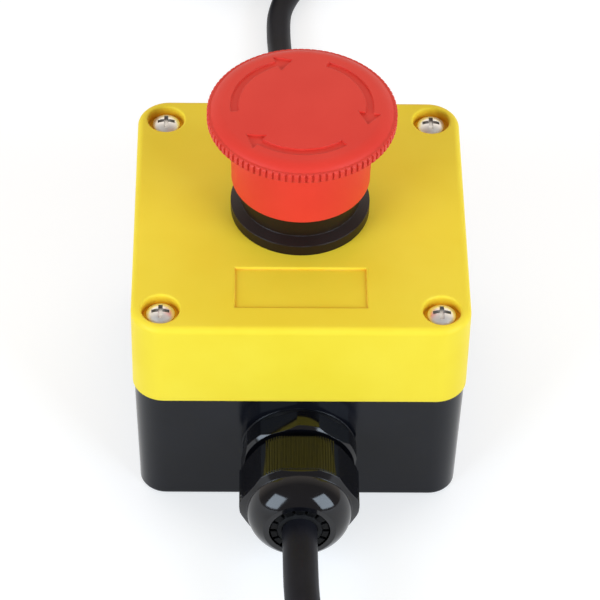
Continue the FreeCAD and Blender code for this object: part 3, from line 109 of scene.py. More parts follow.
# %% [markdown]
# ## The leads
#
# Two sheathed leads leave the glands. The photograph shows only their first few centimetres, so the rest is
# put away in a tied coil just outside the view, and each lead ends in stripped wires, ready for a terminal.
# A lead could be a mesh tube, but a curve is simpler: a NURBS line with a few control points bends as
# smoothly as a real sheath does, and its bevel gives it thickness. The routes, in millimetres, follow those
# of the CAD model. The rear one lies up to about 1.3 mm beside it, where the photograph shows that lead.

# %% Routes of the leads
FRONT_SHEATH = 7.5 * MM
REAR_SHEATH = 6.1 * MM
FRONT_ROUTE = [
    (0.0, -25.0, 16.52), (0.0, -44.0, 16.5), (0.0, -62.5, 16.44), (0.3, -80.5, 15.2), (3.6, -92.5, 13.8),
    (9.8, -102.8, 12.4), (19.1, -111.8, 11.25),
]
REAR_ROUTE = [
    (0.0, 27.0, 16.52), (0.0, 44.8, 16.5), (0.0, 62.5, 16.44), (-0.7, 77.0, 13.4), (-1.6, 91.0, 7.8),
    (-2.8, 105.0, 3.9), (-3.6, 117.0, 3.05), (-3.3, 127.4, 3.05), (0.9, 137.2, 3.05), (7.6, 144.3, 3.05),
    (14.8, 151.2, 3.05),
]
print(len(FRONT_ROUTE), "points lead to the front coil and", len(REAR_ROUTE), "to the rear one")

# %% [markdown]
# A coil starts where its route ends, and bends to one side of it. Points on it are given by an angle in
# degrees, a distance out from its radius and a height. Where the tie goes under the coil, the turns lift by
# the thickness of its strap.

# %% A coil and the points on it
Coil = namedtuple("Coil", "centre first_angle bend radius")
TIE_ANGLE = 110.0
STRAP_THICK = 0.8 * MM


def coil_after(route, radius, bend, entry):
    """The coil after a route. It bends left for 1 and right for -1, and is entered some way out."""
    run = route[-1] - route[-2]
    inwards = Vector((-run.y, run.x, 0.0)).normalized() * bend
    centre = Vector((route[-1].x, route[-1].y, 0.0)) + inwards * (radius + entry)
    return Coil(centre, math.atan2(-inwards.y, -inwards.x), bend, radius)


def on_coil(coil, angle, across, height):
    """A point some degrees past the coil's start, some way out from its radius and at some height."""
    turn = coil.first_angle + coil.bend * math.radians(angle)
    lift = STRAP_THICK * (1 + math.cos(math.radians(angle - TIE_ANGLE))) / 2
    reach = Vector((math.cos(turn), math.sin(turn), 0.0)) * (coil.radius + across)
    return coil.centre + reach + Vector((0.0, 0.0, height + lift))


print("a coil is given by its", ", ".join(Coil._fields))

# %% [markdown]
# The turns come from a loop. The lead fills four lanes, two beside and two on top of each other, and
# changes lane a little earlier in each turn, so that it never has to pass through itself. Lanes are
# measured in thicknesses of the sheath. The front lead comes down onto its coil, and the rear one runs in
# along the floor, so they start in different lanes.

# %% Lanes of the turns
OUTER_LANE = 0.5
INNER_LANE = -0.52
TAIL_LANE = 0.36
LOWER_LAYER = 0.5
ENTRY_LAYER = 1.5
UPPER_LAYER = 1.52
TAIL_LAYER = 2.54
FRONT_LANES = [(OUTER_LANE, ENTRY_LAYER), (OUTER_LANE, LOWER_LAYER), (INNER_LANE, LOWER_LAYER),
               (INNER_LANE, UPPER_LAYER), (-TAIL_LANE, TAIL_LAYER)]
REAR_LANES = [(OUTER_LANE, LOWER_LAYER), (INNER_LANE, LOWER_LAYER), (INNER_LANE, UPPER_LAYER),
              (OUTER_LANE, UPPER_LAYER), (TAIL_LANE, TAIL_LAYER)]
CHANGE_START = 265.0
CHANGE_END = 415.0
CHANGE_EVERY = 310.0
COIL_STEP = 15.0
COIL_SPREAD = 1.0085
SHEATH_END = 1315.0


def blend_over(angle, start, end):
    """0 before start, 1 after end, and a smooth rise between them."""
    share = min(max((angle - start) / (end - start), 0.0), 1.0)
    return share * share * (3 - 2 * share)


def lane_at(angle, lanes):
    """Across and height of the lead at an angle, with a smooth move over each change of lane."""
    across, height = lanes[0]
    for change, (next_across, next_height) in enumerate(lanes[1:]):
        later = change * CHANGE_EVERY
        share = blend_over(angle, CHANGE_START + later, CHANGE_END + later)
        across += (next_across - across) * share
        height += (next_height - height) * share
    return across, height


def coil_turns(coil, lanes):
    """Control points of the turns. They lie a little outside the line that the spline draws inside them."""
    points = []
    for step in range(1, round(SHEATH_END / COIL_STEP) + 1):
        across, height = lane_at(step * COIL_STEP, lanes)
        outside = (coil.radius + across) * (COIL_SPREAD - 1)
        points.append(on_coil(coil, step * COIL_STEP, across + outside, height))
    return points


print("each lead makes", round(SHEATH_END / 360, 2), "turns")

# %% [markdown]
# The spline's order is set after its points are there, because before that it can't be higher than the
# number of points allows. The thickness goes into the radius of the points, with a bevel of 1, because
# Blender adds that radius to the box that it keeps round a curve.

# %% Build the leads
FRONT_RADIUS = 37.5 * MM
REAR_RADIUS = 31.0 * MM
LINE_ORDER = 3
LINE_STEPS = 6
LINE_ROUNDNESS = 6


def smooth_line(name, points, diameter):
    """A round NURBS line with the points as its control points."""
    line = bpy.data.curves.new(name, "CURVE")
    line.dimensions = "3D"
    spline = line.splines.new("NURBS")
    spline.points.add(len(points) - 1)
    for knot, point in zip(spline.points, points):
        knot.co = (*point, 1.0)
        knot.radius = diameter / 2
    spline.order_u = LINE_ORDER
    spline.use_endpoint_u = True
    line.resolution_u = LINE_STEPS
    line.bevel_depth = 1.0
    line.bevel_resolution = LINE_ROUNDNESS
    line.use_fill_caps = True
    piece = bpy.data.objects.new(name, line)
    bpy.context.scene.collection.objects.link(piece)
    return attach(piece, "enclosure")


def make_lead(end, route, sheath, radius, bend, lanes):
    """The sheathed lead of one end, the coil that it makes, and the lane in which it ends."""
    lanes = [(across * sheath, height * sheath) for across, height in lanes]
    route = [Vector(point) * MM for point in route]
    coil = coil_after(route, radius, bend, entry=lanes[0][0])
    lead = smooth_line(f"{end}_sheathed_lead", route + coil_turns(coil, lanes), sheath)
    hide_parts(f"{end}_lead", f"{end}_coil")
    return lead, coil, lane_at(SHEATH_END, lanes)


front_lead, front_coil, front_tail = make_lead(
    "front", FRONT_ROUTE, FRONT_SHEATH, FRONT_RADIUS, -1, FRONT_LANES)
rear_lead, rear_coil, rear_tail = make_lead("rear", REAR_ROUTE, REAR_SHEATH, REAR_RADIUS, 1, REAR_LANES)
print("front coil at", front_coil.centre, "rear coil at", rear_coil.centre)

# %% [markdown]
# ## Ties and stripped ends
#
# A short hook-and-loop strap holds each coil. A strap could be a cloth simulation, but it is pulled tight,
# so its shape is known: it follows the outside of the four lanes, with round corners, and laps over itself
# on top. A list of points round the lanes is swept to the strap's width.

# %% Line of a strap
STRAP_WIDTH = 7.0 * MM
STRAP_CORNER_STEPS = 8
STRAP_SECTION = [(-1, 0), (1, 0), (1, 1), (-1, 1)]


def strap_loop(low, high, radius):
    """Points and outward directions round a rectangle with round corners, in across and height."""
    loop = []
    corners = [(high[0], high[1], 0), (low[0], high[1], 90), (low[0], low[1], 180), (high[0], low[1], 270)]
    for across, height, first in corners:
        middle_across = across - math.copysign(radius, across)
        middle_height = height - radius if height == high[1] else height + radius
        for step in range(STRAP_CORNER_STEPS + 1):
            angle = math.radians(first + 90 * step / STRAP_CORNER_STEPS)
            outwards = (math.cos(angle), math.sin(angle))
            spot = (middle_across + radius * outwards[0], middle_height + radius * outwards[1])
            loop.append((*spot, outwards))
    return loop


def strap_rings(mesh, coil, loop, start_depth):
    """Four corners of the strap's section at each point of a loop, as vertices."""
    half_angle = math.degrees(STRAP_WIDTH / 2 / coil.radius)
    along = on_coil(coil, TIE_ANGLE + half_angle, 0, 0) - on_coil(coil, TIE_ANGLE, 0, 0)
    along.z = 0.0
    half_width = along.normalized() * (STRAP_WIDTH / 2)
    rings = []
    for across, height, (out_across, out_height) in loop:
        ring = []
        for side, depth in STRAP_SECTION:
            reach = start_depth + depth * STRAP_THICK
            point = on_coil(coil, TIE_ANGLE, across + out_across * reach, height + out_height * reach)
            ring.append(mesh.verts.new(point + half_width * side))
        rings.append(ring)
    return rings


print("a strap", STRAP_WIDTH / MM, "mm wide and", STRAP_THICK / MM, "mm thick")

# %% [markdown]
# Rings of vertices become a piece in three steps: faces join each ring to the next, the faces are turned
# outwards, and a Bevel modifier rounds the sharp edges.

# %% Build the ties
STRAP_SLACK = 0.08 * MM
STRAP_LAP_POINTS = 15
STRAP_ROUND = 0.2 * MM
ROUND_SEGMENTS = 2
SHARP_FROM = math.radians(40)
HALF_SHEATH = 0.5


def join_rings(mesh, rings, closed):
    """Faces between neighbouring rings of vertices, with end faces where the row of rings is open."""
    following_rings = rings[1:] + rings[:1] if closed else rings[1:]
    for ring, following in zip(rings, following_rings):
        for corner in range(len(ring)):
            after = (corner + 1) % len(ring)
            mesh.faces.new((ring[corner], ring[after], following[after], following[corner]))
    if not closed:
        mesh.faces.new(list(reversed(rings[0])))
        mesh.faces.new(rings[-1])


def mesh_piece(name, mesh, body):
    """A bmesh as a piece that rides on a body, with its faces turned outwards."""
    bmesh.ops.recalc_face_normals(mesh, faces=mesh.faces)
    data = bpy.data.meshes.new(name)
    mesh.to_mesh(data)
    mesh.free()
    piece = bpy.data.objects.new(name, data)
    bpy.context.scene.collection.objects.link(piece)
    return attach(piece, body)


def soften(piece, width):
    """Rounds the sharp edges of a piece with a Bevel modifier."""
    bevel = piece.modifiers.new("soft_edges", "BEVEL")
    bevel.width = width
    bevel.segments = ROUND_SEGMENTS
    bevel.limit_method = "ANGLE"
    bevel.angle_limit = SHARP_FROM
    for face in piece.data.polygons:
        face.use_smooth = True
    return piece


def make_tie(end, coil, sheath):
    """The strap round the four lanes of a coil, with a second layer where it laps over itself."""
    low = ((INNER_LANE - HALF_SHEATH) * sheath - STRAP_SLACK, 0.0)
    top = (UPPER_LAYER + HALF_SHEATH) * sheath + STRAP_SLACK
    high = ((OUTER_LANE + HALF_SHEATH) * sheath + STRAP_SLACK, top)
    loop = strap_loop(low, high, HALF_SHEATH * sheath)
    mesh = bmesh.new()
    join_rings(mesh, strap_rings(mesh, coil, loop, 0.0), closed=True)
    join_rings(mesh, strap_rings(mesh, coil, loop[:STRAP_LAP_POINTS], STRAP_THICK), closed=False)
    tie = soften(mesh_piece(f"{end}_strap_tie", mesh, "enclosure"), STRAP_ROUND)
    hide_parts(f"{end}_tie")
    return tie


front_tie = make_tie("front", front_coil, FRONT_SHEATH)
rear_tie = make_tie("rear", rear_coil, REAR_SHEATH)
print("ties of", len(front_tie.data.vertices), "vertices")

# %% [markdown]
# At its far end the sheath is stripped, and three insulated wires come out and lie down on the coil. Each
# wire ends in a pressed metal sleeve that goes into a terminal, with a plastic collar behind it. The wires
# are smooth lines like the leads. Their places come from the angle past the sheath's end: they start as a
# bundle, and spread out until each lies on the turns below.

# %% Build the stripped ends
WIRE = 2.2 * MM
SLEEVE = 1.5 * MM
COLLAR = 2.9 * MM
WIRE_RUNS = {
    "wire": (WIRE, [-7.0, 3.0, 13.0, 25.0, 37.0, 50.0]),
    "collar": (COLLAR, [47.0, 49.5, 52.0]),
    "sleeve": (SLEEVE, [51.0, 57.0, 63.0]),
}
WIRE_LANES = {"brown": -0.42, "blue": 0.0, "earth": 0.42}
WIRES_LIE_FROM = 32.0
BUNDLE_SHARE = 0.55
BED_HEIGHT = 1.53
BED_GAP = 0.1 * MM
LANE_HALF = (OUTER_LANE - INNER_LANE) / 2


def wire_place(coil, tail, sheath, angle, lane):
    """A point of a wire: bundled in the sheath's end, and spread over the top of the coil further on."""
    share = blend_over(angle, 0.0, WIRES_LIE_FROM)
    tail_across, tail_height = tail
    across = lane * sheath
    groove = math.sqrt(((sheath + WIRE) / 2) ** 2 - (LANE_HALF * sheath - abs(across)) ** 2)
    bed = BED_HEIGHT * sheath + groove + BED_GAP
    bundled = tail_across + across * BUNDLE_SHARE
    height = tail_height + (bed - tail_height) * share
    return on_coil(coil, SHEATH_END + angle, bundled + (across - bundled) * share, height)


def make_wires(end, coil, tail, sheath):
    """Wire, collar and sleeve of each colour, by colour and word."""
    pieces = {}
    for colour, lane in WIRE_LANES.items():
        for word, (diameter, angles) in WIRE_RUNS.items():
            points = [wire_place(coil, tail, sheath, angle, lane) for angle in angles]
            pieces[colour, word] = smooth_line(f"{end}_{colour}_{word}", points, diameter)
    for (colour, word), piece in pieces.items():
        "bright_steel" if word == "sleeve" else "core_insulation"
    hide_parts(f"{end}_lead_end")
    return pieces


front_wires = make_wires("front", front_coil, front_tail, FRONT_SHEATH)
rear_wires = make_wires("rear", rear_coil, rear_tail, REAR_SHEATH)
print(len(front_wires) + len(rear_wires), "pieces of stripped wire")

# %% [markdown]
# A curve alone does not say that it is a soft lead and not a bent rod.

# %% [markdown]
# ## Grip ribs on the gland nuts
#
# Every second flat of a gland nut has fine ribs along it, so that wet fingers can turn it. They could be
# drawn with a bump texture, but from the side they show against the light, so they are real: each rib is a
# low ridge with a flat top, set on the outline of the nut, which is a hexagon with its corners turned down
# to a cylinder.

# %% Build the ribs
NUT_AXIS_HEIGHT = 16.5 * MM
NUT_FLAT = 12.0 * MM
NUT_CORNER = 12.7 * MM
RIB_COUNT = 27
RIB_PITCH = 0.55 * MM
RIB_HEIGHT = 0.2 * MM
RIB_SUNK = 0.1 * MM
RIB_FOOT = 0.27 * MM
RIB_CREST = 0.08 * MM
RIB_START = 0.35 * MM
RIB_LENGTH = 9.3 * MM
RIBBED_FLATS = (0.0, 120.0, 240.0)


def nut_outline(sideways):
    """Height of the nut's outline over its axis above a point of a flat, and the way it faces there."""
    on_flat = math.sqrt(NUT_CORNER ** 2 - NUT_FLAT ** 2)
    if abs(sideways) < on_flat:
        return NUT_FLAT, Vector((0.0, 0.0, 1.0))
    height = math.sqrt(NUT_CORNER ** 2 - sideways ** 2)
    return height, Vector((sideways, 0.0, height)).normalized()


def rib_section(rib):
    """Corners of one rib's section on the upper flat, from foot to foot."""
    sideways = (rib - (RIB_COUNT - 1) / 2) * RIB_PITCH
    height, facing = nut_outline(sideways)
    across = Vector((facing.z, 0.0, -facing.x))
    foot = Vector((sideways, 0.0, height)) - facing * RIB_SUNK
    crest = foot + facing * (RIB_SUNK + RIB_HEIGHT)
    return [foot - across * RIB_FOOT, crest - across * RIB_CREST, crest + across * RIB_CREST,
            foot + across * RIB_FOOT]


def add_ribs(mesh, start, along):
    """Ribs on alternate flats of a nut that starts at one place on the Y axis and goes along it."""
    for turned in RIBBED_FLATS:
        spin = Matrix.Rotation(math.radians(turned), 3, "Y")
        for rib in range(RIB_COUNT):
            rings = []
            for reach in (RIB_START, RIB_START + RIB_LENGTH):
                shift = Vector((0.0, start + along * reach, NUT_AXIS_HEIGHT))
                rings.append([mesh.verts.new(spin @ corner + shift) for corner in rib_section(rib)])
            join_rings(mesh, rings, closed=False)


def make_ribs(end, along):
    """All the ribs of one nut as one piece."""
    low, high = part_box(f"{end}_gland_nut")
    mesh = bmesh.new()
    add_ribs(mesh, high.y if along < 0 else low.y, along)
    ribs = mesh_piece(f"{end}_nut_ribs", mesh, "enclosure")
    return ribs


front_ribs = make_ribs("front", -1)
rear_ribs = make_ribs("rear", 1)
print("ribs of", len(front_ribs.data.polygons), "faces on each nut")

# %% [markdown]
# ## Copies of the springs
#
# Three springs inside are pressed together when the button goes down. A stiff spring would cut through the
# piece that presses it. A copy of each stands in its place, and the CAD spring is hidden.

# %% Build the springs
SPRING_JOINTS = {
    "return_spring": "press",
    "left_block_spring": "left_contact_travel",
    "right_block_spring": "right_contact_travel",
}


def make_spring(node):
    """A copy of a spring, in place of the hidden CAD spring."""
    spring = bpy.data.objects.new(f"{node}_coil", nodes[node].data.copy())
    bpy.context.scene.collection.objects.link(spring)
    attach(spring, "enclosure")
    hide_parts(node)
    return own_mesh(spring)


springs = [make_spring(node) for node, joint in SPRING_JOINTS.items()]
print(len(springs), "springs that flatten")

# %% [markdown]
# ## Writing finishes as sums
#
# A finish is a material made of nodes. Adding each node and each link by hand is long and hard to read, so
# two small classes help. A Value wraps a socket: a sum written with it, such as 1 - wear, adds the Math
# node that works it out. A Finish is the material, and its one method, node, adds any other node: it takes
# the node's type, its settings, and what goes into its sockets.

# %% Classes for finishes
class Value:
    """A socket of a finish. Sums written with it add Math nodes."""

    def __init__(self, finish, socket):
        self.finish = finish
        self.socket = socket

    def maths(self, operation, first, second):
        return self.finish.node("ShaderNodeMath", {"operation": operation}, {0: first, 1: second})

    def __add__(self, other):
        return self.maths("ADD", self, other)

    def __radd__(self, other):
        return self.maths("ADD", other, self)

    def __sub__(self, other):
        return self.maths("SUBTRACT", self, other)

    def __rsub__(self, other):
        return self.maths("SUBTRACT", other, self)

    def __mul__(self, other):
        return self.maths("MULTIPLY", self, other)

    def __rmul__(self, other):
        return self.maths("MULTIPLY", other, self)

    def __gt__(self, other):
        return self.maths("GREATER_THAN", self, other)


class Finish:
    """A material, its surface shader, and one method that adds any other node."""

    def __init__(self, name, constants):
        self.material = bpy.data.materials.new(name)
        self.material.use_nodes = True
        self.tree = self.material.node_tree
        self.surface = self.tree.nodes["Principled BSDF"]
        for socket, value in constants.items():
            self.surface.inputs[socket].default_value = value

    def feed(self, socket, value):
        """Links a Value to a socket, or sets the socket to a plain number or colour."""
        if isinstance(value, Value):
            self.tree.links.new(value.socket, socket)
        else:
            socket.default_value = value

    def node(self, kind, settings, inputs, output=0):
        """Adds a node: first its settings, then its sockets by name or number. Returns one of its outputs."""
        made = self.tree.nodes.new(kind)
        for setting, value in settings.items():
            setattr(made, setting, value)
        for socket, value in inputs.items():
            self.feed(made.inputs[socket], value)
        return Value(self, made.outputs[output])

    def show(self, socket, value):
        """What a socket of the surface shader shows."""
        self.feed(self.surface.inputs[socket], value)


print("finishes are written with", Value.__name__, "and", Finish.__name__)

# %% [markdown]
# ## Tools for every finish
#
# Real plastic is never one flat colour. It has faint clouds from the melt, a fine skin that the mould
# leaves, and edges that hands and dust have dulled. Each of these is one short function. The grain is
# measured in millimetres on the object itself, so that it has the same size on a large piece and a small
# one.

# %% Colours and grain
EVEN = (1.0, 1.0, 1.0)
GRAIN_MIDDLE = 0.5


def srgb(red, green, blue):
    """A colour as an image shows it, from 0 to 255, as the linear colour that a shader needs."""
    linear = []
    for part in (red, green, blue):
        share = part / 255
        linear.append(share / 12.92 if share <= 0.04045 else ((share + 0.055) / 1.055) ** 2.4)
    return (*linear, 1.0)


def stretched(finish, coordinates, stretch):
    """Object or UV coordinates, multiplied along each axis."""
    spot = finish.node("ShaderNodeTexCoord", {}, {}, coordinates)
    return finish.node("ShaderNodeVectorMath", {"operation": "MULTIPLY"}, {0: spot, 1: stretch})


def grain(finish, size, detail=2.0, stretch=EVEN):
    """Soft noise from 0 to 1 whose lumps are about one size across."""
    sockets = {"Vector": stretched(finish, "Object", stretch), "Scale": 1 / size, "Detail": detail}
    return finish.node("ShaderNodeTexNoise", {}, sockets)


def spread(finish, value, low, high):
    """A value between low and high as a share from 0 to 1, held at its ends."""
    sockets = {"Value": value, "From Min": low, "From Max": high}
    return finish.node("ShaderNodeMapRange", {"clamp": True}, sockets)


def tint(finish, share, first, second):
    """The first colour where the share is 0 and the second where it is 1."""
    return finish.node("ShaderNodeMix", {"data_type": "RGBA"}, {0: share, 6: first, 7: second}, 2)


print("half grey as a shader sees it:", [round(part, 3) for part in srgb(128, 128, 128)])

# %% [markdown]
# Rounded edges come from the Bevel node: it gives the normal that a small round would have, and where that
# differs from the true normal there is an edge. The painted shade of hollows comes from the Ambient Occlusion
# node, which looks only at the piece itself, so that a neighbour that moves leaves no mark behind.

# %% Edges, hollows and relief
EDGE_SAMPLES = 4
FULL_EDGE = 0.12
HOLLOW_SAMPLES = 6
HOLLOW_RANGE = (0.1, 0.75)


def rounded(finish, radius):
    """The normal that the edges would have if they were rounded."""
    return finish.node("ShaderNodeBevel", {"samples": EDGE_SAMPLES}, {"Radius": radius})


def edge_share(finish, soft_normal):
    """1 on the edges that the softened normal rounds, and 0 on the faces."""
    true_normal = finish.node("ShaderNodeNewGeometry", {}, {}, "Normal")
    normals = {0: soft_normal, 1: true_normal}
    agree = finish.node("ShaderNodeVectorMath", {"operation": "DOT_PRODUCT"}, normals, 1)
    return spread(finish, 1 - agree, 0.0, FULL_EDGE)


def hollow_shade_share(finish, reach):
    """Where hollows get painted shade: 1 deep in a hollow of the piece, and 0 on open faces."""
    settings = {"samples": HOLLOW_SAMPLES, "only_local": True}
    open_share = finish.node("ShaderNodeAmbientOcclusion", settings, {"Distance": reach}, "AO")
    return spread(finish, 1 - open_share, *HOLLOW_RANGE)


def relief(finish, height, depth, soft_normal=None, strength=1.0):
    """Shows a height from 0 to 1 as a relief of some depth, on the rounded form where there is one."""
    sockets = {"Strength": strength, "Distance": depth, "Height": height}
    if soft_normal is not None:
        sockets["Normal"] = soft_normal
    finish.show("Normal", finish.node("ShaderNodeBump", {}, sockets))


print("edges are sampled", EDGE_SAMPLES, "times and hollows", HOLLOW_SAMPLES, "times")

# %% [markdown]
# ## Moulded plastic
#
# Most of the switch is moulded plastic: the lid, the base, the cap, the collar, the nylon glands. They
# differ in colour, in gloss and in how coarse the skin of the mould was, so one function makes them all.
# The clouds change the colour by a few percent, the skin changes the roughness and the relief, and the
# edges are a little paler and duller. Hollows get a painted shade: a colour of their own that stands in for
# the shade in them and for the tinted light that bounces between the sides of a groove. The size and depth
# of the skin and the round of the edges are in millimetres.

# %% A moulded finish
HOLLOW_SHADE_REACH = 3.0 * MM
WEAR_SIZE = 2.5 * MM
WEAR_RANGE = (0.35, 0.7)
WEAR_PALES = 0.5
CLOUD_SIZE = 14 * MM
CLOUD_RANGE = (0.3, 0.7)
FINE_DETAIL = 3.0
SKIN_ROUGHENS = 0.1
CLOUDS_ROUGHEN = 0.06
WEAR_ROUGHENS = 0.12


def moulding(name, colour, cloud, edge, hollow_shade, rough, shine, skin, edge_round):
    """A moulded plastic: its colour, those of its clouds and edges, the painted shade of its hollows, its
    roughness, shine and skin.
    """
    finish = Finish(name, {"IOR": 1.5, "Specular IOR Level": shine})
    skin_size, skin_depth = skin
    soft_normal = rounded(finish, edge_round * MM)
    worn = edge_share(finish, soft_normal) * spread(finish, grain(finish, WEAR_SIZE), *WEAR_RANGE)
    clouds = spread(finish, grain(finish, CLOUD_SIZE, FINE_DETAIL), *CLOUD_RANGE)
    skin_grain = grain(finish, skin_size * MM, FINE_DETAIL)
    open_face = tint(finish, clouds, colour, cloud)
    # Painted shade: the hollows take a colour of their own in place of the open face's.
    face = tint(finish, hollow_shade_share(finish, HOLLOW_SHADE_REACH), open_face, hollow_shade)
    finish.show("Base Color", tint(finish, worn * WEAR_PALES, face, edge))
    skin_rough = rough + SKIN_ROUGHENS * (skin_grain - GRAIN_MIDDLE)
    finish.show("Roughness", skin_rough + CLOUDS_ROUGHEN * clouds + WEAR_ROUGHENS * worn)
    relief(finish, skin_grain, skin_depth * MM, soft_normal)
    return finish.material


print("hollows are looked for within", HOLLOW_SHADE_REACH / MM, "mm")

# %% [markdown]
# The colours outside are those of the photograph, chosen so that they come out right under the lamps of
# this lesson.

# %% Finishes of the mouldings outside
# The hollow colours below are painted shade: amber for bounced light on the lid, darker on the blacks, and a
# lighter red in the cap's grooves.
lid_yellow = moulding("lid_yellow", srgb(241, 215, 60), cloud=srgb(238, 210, 53), edge=srgb(247, 228, 108),
                      hollow_shade=srgb(240, 158, 24), rough=0.4, shine=0.14, skin=(0.5, 0.004), edge_round=0.4)
base_black = moulding("base_black", srgb(14, 15, 20), cloud=srgb(18, 19, 25), edge=srgb(54, 55, 60),
                      hollow_shade=srgb(9, 9, 12), rough=0.12, shine=0.22, skin=(0.7, 0.003), edge_round=0.35)
cap_red = moulding("cap_red", srgb(221, 57, 43), cloud=srgb(216, 52, 39), edge=srgb(230, 88, 70),
                   hollow_shade=srgb(227, 56, 43), rough=0.42, shine=0.3, skin=(0.28, 0.008), edge_round=0.35)
collar_black = moulding("collar_black", srgb(25, 13, 10), cloud=srgb(30, 16, 13), edge=srgb(84, 86, 94),
                        hollow_shade=srgb(17, 8, 6), rough=0.34, shine=0.24, skin=(0.25, 0.03), edge_round=0.3)
gland_nylon = moulding("gland_nylon", srgb(9, 9, 13), cloud=srgb(12, 12, 16), edge=srgb(42, 42, 47),
                       hollow_shade=srgb(6, 6, 7), rough=0.08, shine=0.4, skin=(0.9, 0.003), edge_round=0.25)
claw_nylon = moulding("claw_nylon", srgb(12, 12, 13), cloud=srgb(15, 15, 16), edge=srgb(60, 60, 62),
                      hollow_shade=srgb(6, 6, 6), rough=0.35, shine=0.08, skin=(0.4, 0.006), edge_round=0.15)
print("outside:", lid_yellow.name, base_black.name, cap_red.name, collar_black.name, gland_nylon.name,
      claw_nylon.name)

# %% [markdown]
# The mouldings inside the box can't be seen in the photograph. They have the colours that such pieces
# usually have: white nylon where things slide, grey contact blocks with pale covers, and red plungers.

# %% Finishes of the mouldings inside
# Their hollow colours are painted shade, darker than the faces.
white_nylon = moulding("white_nylon", srgb(226, 222, 208), cloud=srgb(219, 214, 198), edge=srgb(236, 234, 226),
                       hollow_shade=srgb(198, 190, 168), rough=0.42, shine=0.5, skin=(0.5, 0.006), edge_round=0.25)
block_grey = moulding("block_grey", srgb(86, 88, 90), cloud=srgb(79, 81, 83), edge=srgb(128, 129, 130),
                      hollow_shade=srgb(58, 59, 60), rough=0.5, shine=0.5, skin=(0.25, 0.012), edge_round=0.2)
cover_pale = moulding("cover_pale", srgb(188, 190, 188), cloud=srgb(180, 182, 180), edge=srgb(212, 214, 212),
                      hollow_shade=srgb(150, 151, 149), rough=0.34, shine=0.5, skin=(0.4, 0.006), edge_round=0.2)
plunger_red = moulding("plunger_red", srgb(178, 40, 32), cloud=srgb(168, 34, 28), edge=srgb(206, 92, 80),
                       hollow_shade=srgb(140, 26, 22), rough=0.38, shine=0.5, skin=(0.3, 0.006), edge_round=0.2)
splice_blue = moulding("splice_blue", srgb(196, 202, 208), cloud=srgb(186, 194, 202), edge=srgb(222, 226, 230),
                       hollow_shade=srgb(152, 160, 170), rough=0.3, shine=0.5, skin=(0.4, 0.005), edge_round=0.2)
print("inside:", white_nylon.name, block_grey.name, cover_pale.name, plunger_red.name, splice_blue.name)

# %% [markdown]
# ## Rubber, sheath and strap
#
# Rubber and the soft sheath of a lead are dull, with a fine bloom. A sheath is drawn through a die, so its
# marks run along it: on a curve, the U coordinate runs along the line and V round it, and noise that is
# finer in V than in U gives such marks.

# %% Rubber and sheath
BLOOM_DETAIL = 4.0
RUBBER_ROUND = 0.2 * MM
RUBBER_BLOOM = 1.6 * MM
RUBBER_BLOOM_RANGE = (0.45, 0.75)
RUBBER_BLOOM_ROUGHENS = 0.12
RUBBER_PORES = 0.18 * MM
RUBBER_PORE_DEPTH = 0.01 * MM
SHEATH_ROUGH = 0.34
SHEATH_BLOOM = 6 * MM
SHEATH_BLOOM_RANGE = (0.4, 0.8)
SHEATH_BLOOM_ROUGHENS = 0.1
SHEATH_PORES = 0.4 * MM
DRAWN_MARKS = (9.0, 60.0, 1.0)
DRAWN_ROUGHENS = 0.16
DRAWN_SHARE = 0.7
DRAWN_DEPTH = 0.02 * MM


def bloomed(finish, colour, bloom, size, detail, limits):
    """Shows a colour with patches of bloom on it, and returns the patches."""
    patches = spread(finish, grain(finish, size, detail), *limits)
    finish.show("Base Color", tint(finish, patches, colour, bloom))
    return patches


def rubber(name, colour, bloom, rough):
    """A dull rubber with fine pores."""
    finish = Finish(name, {"IOR": 1.48, "Specular IOR Level": 0.2})
    soft_normal = rounded(finish, RUBBER_ROUND)
    dust = bloomed(finish, colour, bloom, RUBBER_BLOOM, BLOOM_DETAIL, RUBBER_BLOOM_RANGE)
    finish.show("Roughness", rough + RUBBER_BLOOM_ROUGHENS * dust)
    relief(finish, grain(finish, RUBBER_PORES), RUBBER_PORE_DEPTH, soft_normal)
    return finish.material


def drawn_sheath(name, colour, bloom):
    """The sheath of a lead, with the marks of its die along it."""
    finish = Finish(name, {"IOR": 1.5, "Specular IOR Level": 0.16})
    drawn = stretched(finish, "UV", DRAWN_MARKS)
    marks = finish.node("ShaderNodeTexNoise", {}, {"Vector": drawn, "Scale": 1.0, "Detail": FINE_DETAIL})
    dust = bloomed(finish, colour, bloom, SHEATH_BLOOM, BLOOM_DETAIL, SHEATH_BLOOM_RANGE)
    finish.show("Roughness", SHEATH_ROUGH + DRAWN_ROUGHENS * marks + SHEATH_BLOOM_ROUGHENS * dust)
    height = DRAWN_SHARE * marks + (1 - DRAWN_SHARE) * grain(finish, SHEATH_PORES)
    relief(finish, height, DRAWN_DEPTH)
    return finish.material


seal_rubber = rubber("seal_rubber", srgb(22, 22, 23), srgb(33, 33, 34), 0.68)
lead_sheath = drawn_sheath("lead_sheath", srgb(18, 18, 23), srgb(27, 27, 33))
print("soft:", seal_rubber.name, lead_sheath.name)

# %% [markdown]
# The strap is woven. An image of cloth could be laid on it, but waves along the three axes of the object,
# added up, give threads that cross on every side of it. At scale 1 Blender draws 20 / tau waves per metre,
# so the scale is worked out from the thickness of a thread.

# %% Woven strap
THREAD = 0.5 * MM
THREAD_DEPTH = 0.08 * MM
THREAD_STRENGTH = 0.8
THREAD_RANGE = (0.3, 1.1)
THREAD_SHARES = {"X": 0.5, "Y": 0.3, "Z": 0.5}
FUZZ_SIZE = 0.3 * MM
FUZZ_SHARE = 0.4
FUZZ_ROUGHENS = 0.1
CLOTH_ROUGH = 0.85
WAVES_PER_METRE = 20 / math.tau


def wave(finish, size, axis):
    """Round waves of one size along an axis of the object."""
    sockets = {"Vector": stretched(finish, "Object", EVEN), "Scale": 1 / WAVES_PER_METRE / size}
    return finish.node("ShaderNodeTexWave", {"bands_direction": axis}, sockets, 1)


